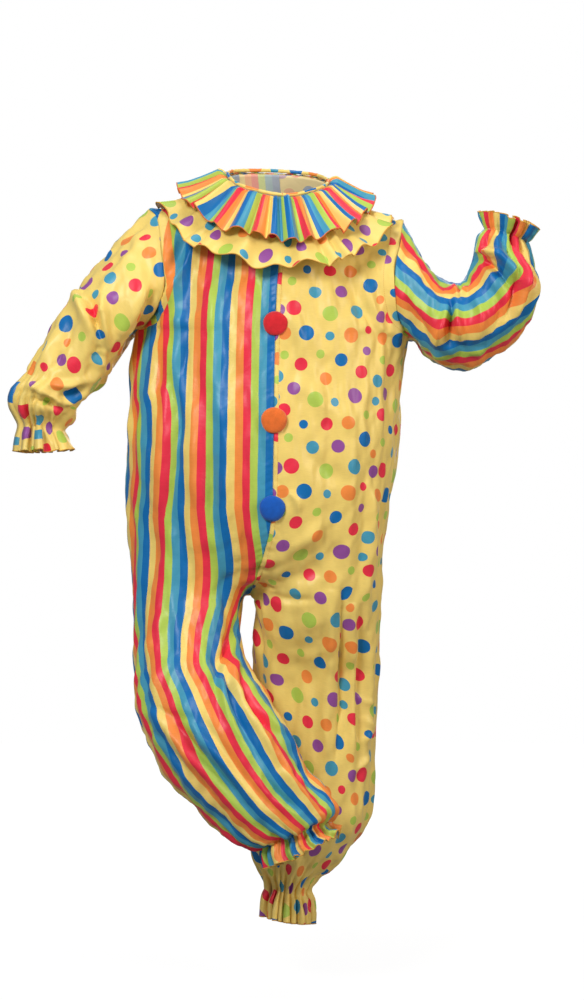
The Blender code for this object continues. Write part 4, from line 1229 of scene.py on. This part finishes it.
# %% [markdown]
# ## Overlocked edges
#
# Every free edge of the real costume is overlocked: a machine wraps it in thread, which shows as a thin
# raised line. Here it is a fine tube along each edge. A closed path is swept with a ring of points that
# stands square to the path's direction, and the bump of its material gives the wraps.

# %% Tubes of thread
THREAD_RADIUS = 0.0011
THREAD_SIDES = 6


def swept(path, radius, sides):
    """Rings of points square to a closed path: one axis follows the path's own normal to its direction."""
    along = np.roll(path, -1, axis=0) - np.roll(path, 1, axis=0)
    along /= np.linalg.norm(along, axis=1)[:, None] + 1e-12
    first = np.cross(along, path - path.mean(axis=0))
    first /= np.linalg.norm(first, axis=1)[:, None] + 1e-12
    second = np.cross(along, first)
    turn = np.arange(sides) * 2 * np.pi / sides
    return path[:, None] + radius * (np.cos(turn)[None, :, None] * first[:, None]
                                     + np.sin(turn)[None, :, None] * second[:, None])


def torus(points, cloth):
    """Cells of a grid that closes both ways, with the places of their corners."""
    rows, columns = points.shape[:2]
    index = np.arange(rows * columns).reshape(rows, columns)
    index = np.vstack([index, index[:1]])
    index = np.hstack([index, index[:, :1]])
    place = np.arange((rows + 1) * (columns + 1)).reshape(rows + 1, columns + 1)
    both = []
    for grid in (index, place):
        corners = [grid[:-1, :-1], grid[1:, :-1], grid[1:, 1:], grid[:-1, 1:]]
        both.append(np.stack(corners, axis=-1).reshape(-1, 4))
    return points.reshape(-1, 3), both[0], cloth.reshape(-1, 2)[both[1]]


def faces_out(points, faces):
    """Whether a closed shape's faces look outwards, which makes its volume positive."""
    corner = points[faces]
    volume = (np.cross(corner[:, 0], corner[:, 1]) * corner[:, 2]).sum()
    volume += (np.cross(corner[:, 0], corner[:, 2]) * corner[:, 3]).sum()
    return volume > 0


def thread_tube(name, path, material, slot, radius=THREAD_RADIUS):
    """A thread along a closed path, as its own object."""
    rings = swept(path, radius, THREAD_SIDES)
    along = np.append(0, np.cumsum(np.linalg.norm(np.roll(path, -1, axis=0) - path, axis=1)))[:, None]
    around = np.linspace(0, 2 * np.pi * radius, THREAD_SIDES + 1)[None]
    cloth = np.stack([along + 0 * around, around + 0 * along], axis=-1)
    points, faces, places = torus(rings, cloth)
    if not faces_out(points, faces):
        faces, places = faces[:, ::-1], places[:, ::-1]
    return dress(put(name, points, faces.tolist(), places), slot, material)


def thread(name, colour):
    """Twisted thread: wraps across the tube from a sine of the distance along it."""
    material, tree, shader = surface(name)
    shader.inputs["Base Color"].default_value = colour
    shader.inputs["Roughness"].default_value = 0.5
    spot = add(tree, "UVMap", uv_map="cloth").outputs[0]
    wraps = add(tree, "TexWave", {"Vector": spot, "Scale": 160.0, "Distortion": 0.5}).outputs[0]
    bump = add(tree, "Bump", {"Strength": 0.8, "Distance": 0.0004, "Height": wraps}).outputs[0]
    tree.links.new(bump, shader.inputs["Normal"])
    return material


# %% [markdown]
# The hem frills, the sleeve frills and the lower ruffle are overlocked in golden thread, the upper ruffle in
# orange. A leg's edge is walked along its front panel and back along its back panel, so it closes.

# %% Overlocked edges
golden = thread("thread_golden", linear(226, 170, 66))
orange = thread("thread_orange", linear(226, 120, 52))
loops = {
    "leg_right": np.vstack([panels[0]["points"][-1, :-1], panels[1]["points"][-1, :0:-1]]),
    "leg_left": np.vstack([panels[2]["points"][-1, :-1], panels[3]["points"][-1, :0:-1]]),
    "sleeve_right": sleeves[0]["points"][-1], "sleeve_left": sleeves[1]["points"][-1],
    "ruffle_upper": ruffles[0]["points"][-1], "ruffle_lower": ruffles[1]["points"][-1],
}
for name, path in loops.items():
    striped = name in ("leg_right", "sleeve_left", "ruffle_upper")
    thread_tube(f"thread_{name}", path, orange if name == "ruffle_upper" else golden,
                "striped" if striped else "dotted")
print("overlocked edges:", ", ".join(loops))

# %% [markdown]
# ## Stitches
#
# The placket at the centre front and the strips along the armholes are stitched down. A stitch is a short
# piece of thread, bent so that it dips into the cloth at both ends. All of one line's stitches are one mesh,
# made by laying one bent piece's points along every stitch's three directions at once.

# %% Rows of stitches
STITCH_LENGTH, STITCH_PITCH, STITCH_RADIUS = 0.0028, 0.0040, 0.00034
BENT = table("along, rise", (-0.5, -0.6), (-0.3, 0.2), (0.0, 0.6), (0.3, 0.2), (0.5, -0.6))


OFF_CLOTH = 0.0004
PLACKET_TOP, PLACKET_END = -0.15, -0.765


def capped(rings):
    """Faces of a row of rings from its first ring to its last, with one face more at each end."""
    rows, sides = rings.shape[:2]
    index = np.arange(rows * sides).reshape(rows, sides)
    wrapped = np.hstack([index, index[:, :1]])
    cells = np.stack([wrapped[:-1, 1:], wrapped[1:, 1:], wrapped[1:, :-1], wrapped[:-1, :-1]], axis=-1)
    return cells.reshape(-1, 4).tolist() + [index[0][::-1].tolist(), index[-1].tolist()]


def stitches(name, path, normals, slot):
    """One mesh of bent pieces of thread along a path, each on the cloth's own normal."""
    long = walked(path[None], 1)[0, -1]
    starts = np.arange(STITCH_PITCH, long - STITCH_PITCH, STITCH_PITCH)
    middle, up = along_row(path, starts), along_row(path, starts, normals)
    half = STITCH_LENGTH / 2
    ahead = along_row(path, starts + half) - along_row(path, starts - half)
    ahead /= np.linalg.norm(ahead, axis=1)[:, None]
    side = np.cross(up, ahead)
    turn = np.arange(THREAD_SIDES) * 2 * np.pi / THREAD_SIDES
    out = np.cos(turn)[:, None] * side[:, None] + np.sin(turn)[:, None] * up[:, None]
    rings = [(middle + ahead * ring.along * STITCH_LENGTH + up * ring.rise * STITCH_RADIUS)[:, None]
             + STITCH_RADIUS * out for ring in BENT]
    points = np.stack(rings, axis=1)
    one = capped(points[0])
    starts = np.arange(len(points)) * len(BENT) * THREAD_SIDES
    faces = [[corner + start for corner in face] for start in starts.tolist() for face in one]
    return dress(put(name, points, faces), slot, golden)


left_front = panels[2]
height = left_front["points"][:, 0, 2]
open_rows = np.flatnonzero((height < PLACKET_TOP) & (height > PLACKET_END))
lines = {"placket": (left_front, (open_rows, PLACKET_COLUMNS))}
for panel in panels:
    lines["strip_" + panel["name"]] = (panel, (np.arange(ARMHOLE_ROWS), COLUMNS - STRIP_COLUMNS))
for name, (panel, where) in lines.items():
    path = panel["points"][where] + panel["normals"][where] * OFF_CLOTH
    stitches(f"stitches_{name}", path, panel["normals"][where], panel["slot"])
print("stitched lines:", ", ".join(lines))

# %% [markdown]
# ## The neck binding
#
# A folded strip of the dotted cloth covers the gathers. It is a tube of oval section round the neck, a
# little uneven where the pleats beneath push it.

# %% Neck binding
BAND_HALF_WIDTH = 0.0029
BAND_HALF_HEIGHT = 0.0034
BAND_MIDDLE = 0.0064
BAND_AROUND, BAND_SECTION = 288, 16


def binding():
    """Rings of an oval section, laid along the neck at the gathers."""
    angle = np.arange(BAND_AROUND) * 360 / BAND_AROUND
    middle = layered(collar_ring(angle, "neck"), 1) + [0, 0, BAND_MIDDLE]
    away = from_neck(middle)
    circle = np.radians(angle)
    bulge = 1 + 0.06 * np.sin(31 * circle) + 0.05 * np.sin(47 * circle + 1)
    turn = np.arange(BAND_SECTION) * 2 * np.pi / BAND_SECTION
    out = (np.cos(turn)[:, None] * BAND_HALF_WIDTH * bulge)[..., None] * away
    rise = (np.sin(turn)[:, None] * BAND_HALF_HEIGHT * bulge)[..., None] * [0, 0, 1]
    points = np.transpose(middle + out + rise, (1, 0, 2))
    along = walked(np.concatenate([points, points[:1]]), 0)[:, :1]
    along = along * np.ones(BAND_SECTION + 1)
    across = np.linspace(0, 0.02, BAND_SECTION + 1) * np.ones((BAND_AROUND + 1, 1))
    return points, np.stack([along, -across], axis=-1)


points, faces, places = torus(*binding())
band = dress(put("neckband", points, faces.tolist(), places), "dotted", right_side["dotted"])
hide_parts("neckband")
print("binding of", len(band.data.polygons), "cells")

# %% [markdown]
# ## Felt-covered buttons
#
# The three buttons are covered in wool felt, each in a colour of its own. The short wool needs no separate
# hairs at this size, only a rough matt shader with fibres in its bump and a sheen at the rim.

# %% Felt
def felt(name, colour):
    """Matt wool: strong sheen, high roughness and two scales of fibre noise."""
    material, tree, shader = surface(name)
    spot = add(tree, "TexCoord").outputs["Object"]
    fibre = {"Vector": spot, "Scale": 900.0, "Detail": 4.0, "Distortion": 1.5}
    fibre = add(tree, "TexNoise", fibre).outputs[0]
    patch = add(tree, "TexNoise", {"Vector": spot, "Scale": 90.0, "Detail": 2.0}).outputs[0]
    both = add(tree, "Math", {0: fibre, 1: patch}, operation="ADD").outputs[0]
    shade = add(tree, "MapRange", {0: both, 1: 0.6, 2: 1.4, 3: 0.78, 4: 1.12}).outputs[0]
    mixed = add(tree, "VectorMath", {0: colour[:3], 1: shade}, operation="MULTIPLY").outputs[0]
    tree.links.new(mixed, shader.inputs["Base Color"])
    shader.inputs["Roughness"].default_value = 0.95
    shader.inputs["Specular IOR Level"].default_value = 0.2
    shader.inputs["Sheen Weight"].default_value = 0.35
    bump = add(tree, "Bump", {"Strength": 0.7, "Distance": 0.0006, "Height": both}).outputs[0]
    tree.links.new(bump, shader.inputs["Normal"])
    return material


# %% [markdown]
# Each button is a padded dome sewn over the centre seam: rings that rise and draw in, from a table. Its back
# follows the cloth, because a ray from the front finds the surface behind every point of its rim.

# %% Buttons
FELT = {"button_top": linear(226, 40, 50), "button_middle": linear(242, 118, 48),
        "button_bottom": linear(20, 92, 190)}
DOME = table("size, rise", (0.90, 0.0), (0.97, 0.06), (1.0, 0.2), (0.985, 0.36), (0.94, 0.52), (0.86, 0.68),
             (0.74, 0.81), (0.59, 0.90), (0.42, 0.96), (0.22, 0.99), (0.06, 1.0))
DOME_SIDES = 64
BUTTON_OFF = 0.0008
front_points = np.concatenate([sheet["points"].reshape(-1, 3) for sheet in (panels[0], panels[2])])
front_cells = np.concatenate([quads(panels[0])[0], quads(panels[2])[0] + panels[0]["points"][..., 0].size])
front_cloth = BVHTree.FromPolygons(front_points.tolist(), front_cells.tolist())


def cloth_y(x, z):
    """How far back the cloth lies at x and z, met from one metre in front."""
    return front_cloth.ray_cast((x, -1, z), (0, 1, 0))[0].y


def button(name, z, radius, dome):
    """Rings from the back edge over the dome, with a cap at both ends."""
    x = float(np.interp(-z, -CENTRE_SEAM.z, CENTRE_SEAM.x))
    turn = np.arange(DOME_SIDES) * 2 * np.pi / DOME_SIDES
    uneven = 1 + 0.012 * np.sin(3 * turn + z * 40) + 0.008 * np.sin(5 * turn)
    heel = cloth_y(x, z) - BUTTON_OFF
    rings = []
    for size, rise in DOME:
        across = x + radius * size * uneven * np.cos(turn)
        height = z + radius * size * uneven * np.sin(turn)
        low = np.array([cloth_y(*place) for place in zip(across, height)]) - BUTTON_OFF
        y = low * (1 - rise) + (heel - dome * rise) * rise - dome * rise * (1 - rise)
        rings.append(np.stack([across, y, height], axis=1))
    rings = np.array(rings)
    return put(name, rings, capped(rings))


for name, z, radius, dome in BUTTONS.tolist():
    made = dress(button(name, z, radius, dome), name, felt("felt_" + name, FELT[name]))
    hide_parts(name)
print("buttons:", ", ".join(BUTTONS.name))

# %% [markdown]
# ## Floor
#
# A catalogue picture has a white floor that melts into a white wall. A floor that is only painted white
# turns grey away from the lamps, so this one glows white to the camera, a little less under the costume so
# that its soft shadow still shows. Other rays meet a plain pale floor, which throws some light back up.

# %% Floor
FLOOR_Z = -1.52
FLOOR_RADIUS = 5.0
FLOOR_SIDES = 96
FLOOR_NEAR, FLOOR_FAR = 1.6, 3.2
FLOOR_GLOW = (0.93, 1.0)
FLOOR_PALE, FLOOR_PALE_SEEN = 0.28, 0.1


def floor_material():
    """White glow by distance from the middle, added to a matt pale surface."""
    material, tree, shader = surface("pale_floor")
    tree.nodes.remove(shader)
    seen = add(tree, "LightPath").outputs["Is Camera Ray"]
    place = add(tree, "TexCoord").outputs["Object"]
    away = add(tree, "VectorMath", {0: place}, operation="LENGTH").outputs["Value"]
    glow = {0: away, 1: FLOOR_NEAR, 2: FLOOR_FAR, 3: FLOOR_GLOW[0], 4: FLOOR_GLOW[1]}
    glow = add(tree, "MapRange", glow).outputs[0]
    glow = add(tree, "Math", {0: glow, 1: seen}, operation="MULTIPLY").outputs[0]
    pale = add(tree, "MapRange", {0: seen, 3: FLOOR_PALE, 4: FLOOR_PALE_SEEN}).outputs[0]
    shine = add(tree, "Emission", {"Strength": glow}).outputs[0]
    matt = add(tree, "BsdfDiffuse", {"Color": pale}).outputs[0]
    both = add(tree, "AddShader", {0: shine, 1: matt}).outputs[0]
    tree.links.new(both, tree.nodes["Material Output"].inputs["Surface"])
    return material


around = np.linspace(0, 2 * np.pi, FLOOR_SIDES, endpoint=False)
rim = np.stack([np.cos(around) * FLOOR_RADIUS, np.sin(around) * FLOOR_RADIUS, 0 * around + FLOOR_Z], axis=1)
floor_mesh = bpy.data.meshes.new("floor")
floor_mesh.from_pydata(rim.tolist(), [], [list(range(FLOOR_SIDES))])
floor_mesh.materials.append(floor_material())
floor = bpy.data.objects.new("floor", floor_mesh)
bpy.context.scene.collection.objects.link(floor)
print("floor at", FLOOR_Z, "metres")

# %% [markdown]
# ## Light and camera
#
# The photograph has a white surround, a large soft light from the front and no hard shadow. A white
# surround, which lights the cloth only faintly, and four large area lights give that.

# %% Surround and lights
SURROUND_LIGHT = 0.24


def area_light(name, place, aim, size, power, colour=(1, 1, 1)):
    """A square soft light at a place, turned to what it lights."""
    light = bpy.data.lights.new(name, "AREA")
    light.size = size
    light.energy = power
    light.color = colour
    made = bpy.data.objects.new(name, light)
    made.location = place
    way = Vector(aim) - Vector(place)
    made.rotation_euler = way.to_track_quat("-Z", "Y").to_euler()
    bpy.context.scene.collection.objects.link(made)


area_light("key", (-1.4, -3.0, 1.3), (0, 0, -0.45), 1.0, 80)
area_light("fill", (2.7, -2.0, 0.5), (0, 0, -0.4), 1.3, 46, (1.0, 0.90, 0.80))
area_light("top", (0.1, -0.6, 2.3), (0, 0, -0.5), 1.2, 18)
area_light("behind", (0.4, 3.2, 0.6), (0, 0, -0.6), 2.4, 55)
world = bpy.data.worlds.new("surround")
world.use_nodes = True
tree = world.node_tree
seen = add(tree, "LightPath").outputs["Is Camera Ray"]
strength = add(tree, "MapRange", {0: seen, 3: SURROUND_LIGHT, 4: 1.0}).outputs[0]
tree.nodes["Background"].inputs["Color"].default_value = (1, 1, 1, 1)
tree.links.new(strength, tree.nodes["Background"].inputs["Strength"])
bpy.context.scene.world = world
bpy.context.scene.view_settings.view_transform = "Standard"

# %% [markdown]
# The photograph looks level at the costume from some metres away, so the camera does too. The long side of
# its picture takes in 1.9 metres at the costume, which together with its distance gives the lens.

# %% Camera
SENSOR = 36
SEEN_HEIGHT = 1.9
CAMERA_X, CAMERA_AWAY, CAMERA_Z = 0.0228, 5.0, -0.6023
lens = bpy.data.cameras.new("camera")
lens.sensor_width = SENSOR
lens.lens = SENSOR * CAMERA_AWAY / SEEN_HEIGHT
camera = bpy.data.objects.new("camera", lens)
camera.location = (CAMERA_X, -CAMERA_AWAY, CAMERA_Z)
camera.rotation_euler = (np.pi / 2, 0, 0)
bpy.context.scene.collection.objects.link(camera)
bpy.context.scene.camera = camera
print("camera", CAMERA_AWAY, "metres in front of the neck, lens", round(lens.lens, 1))
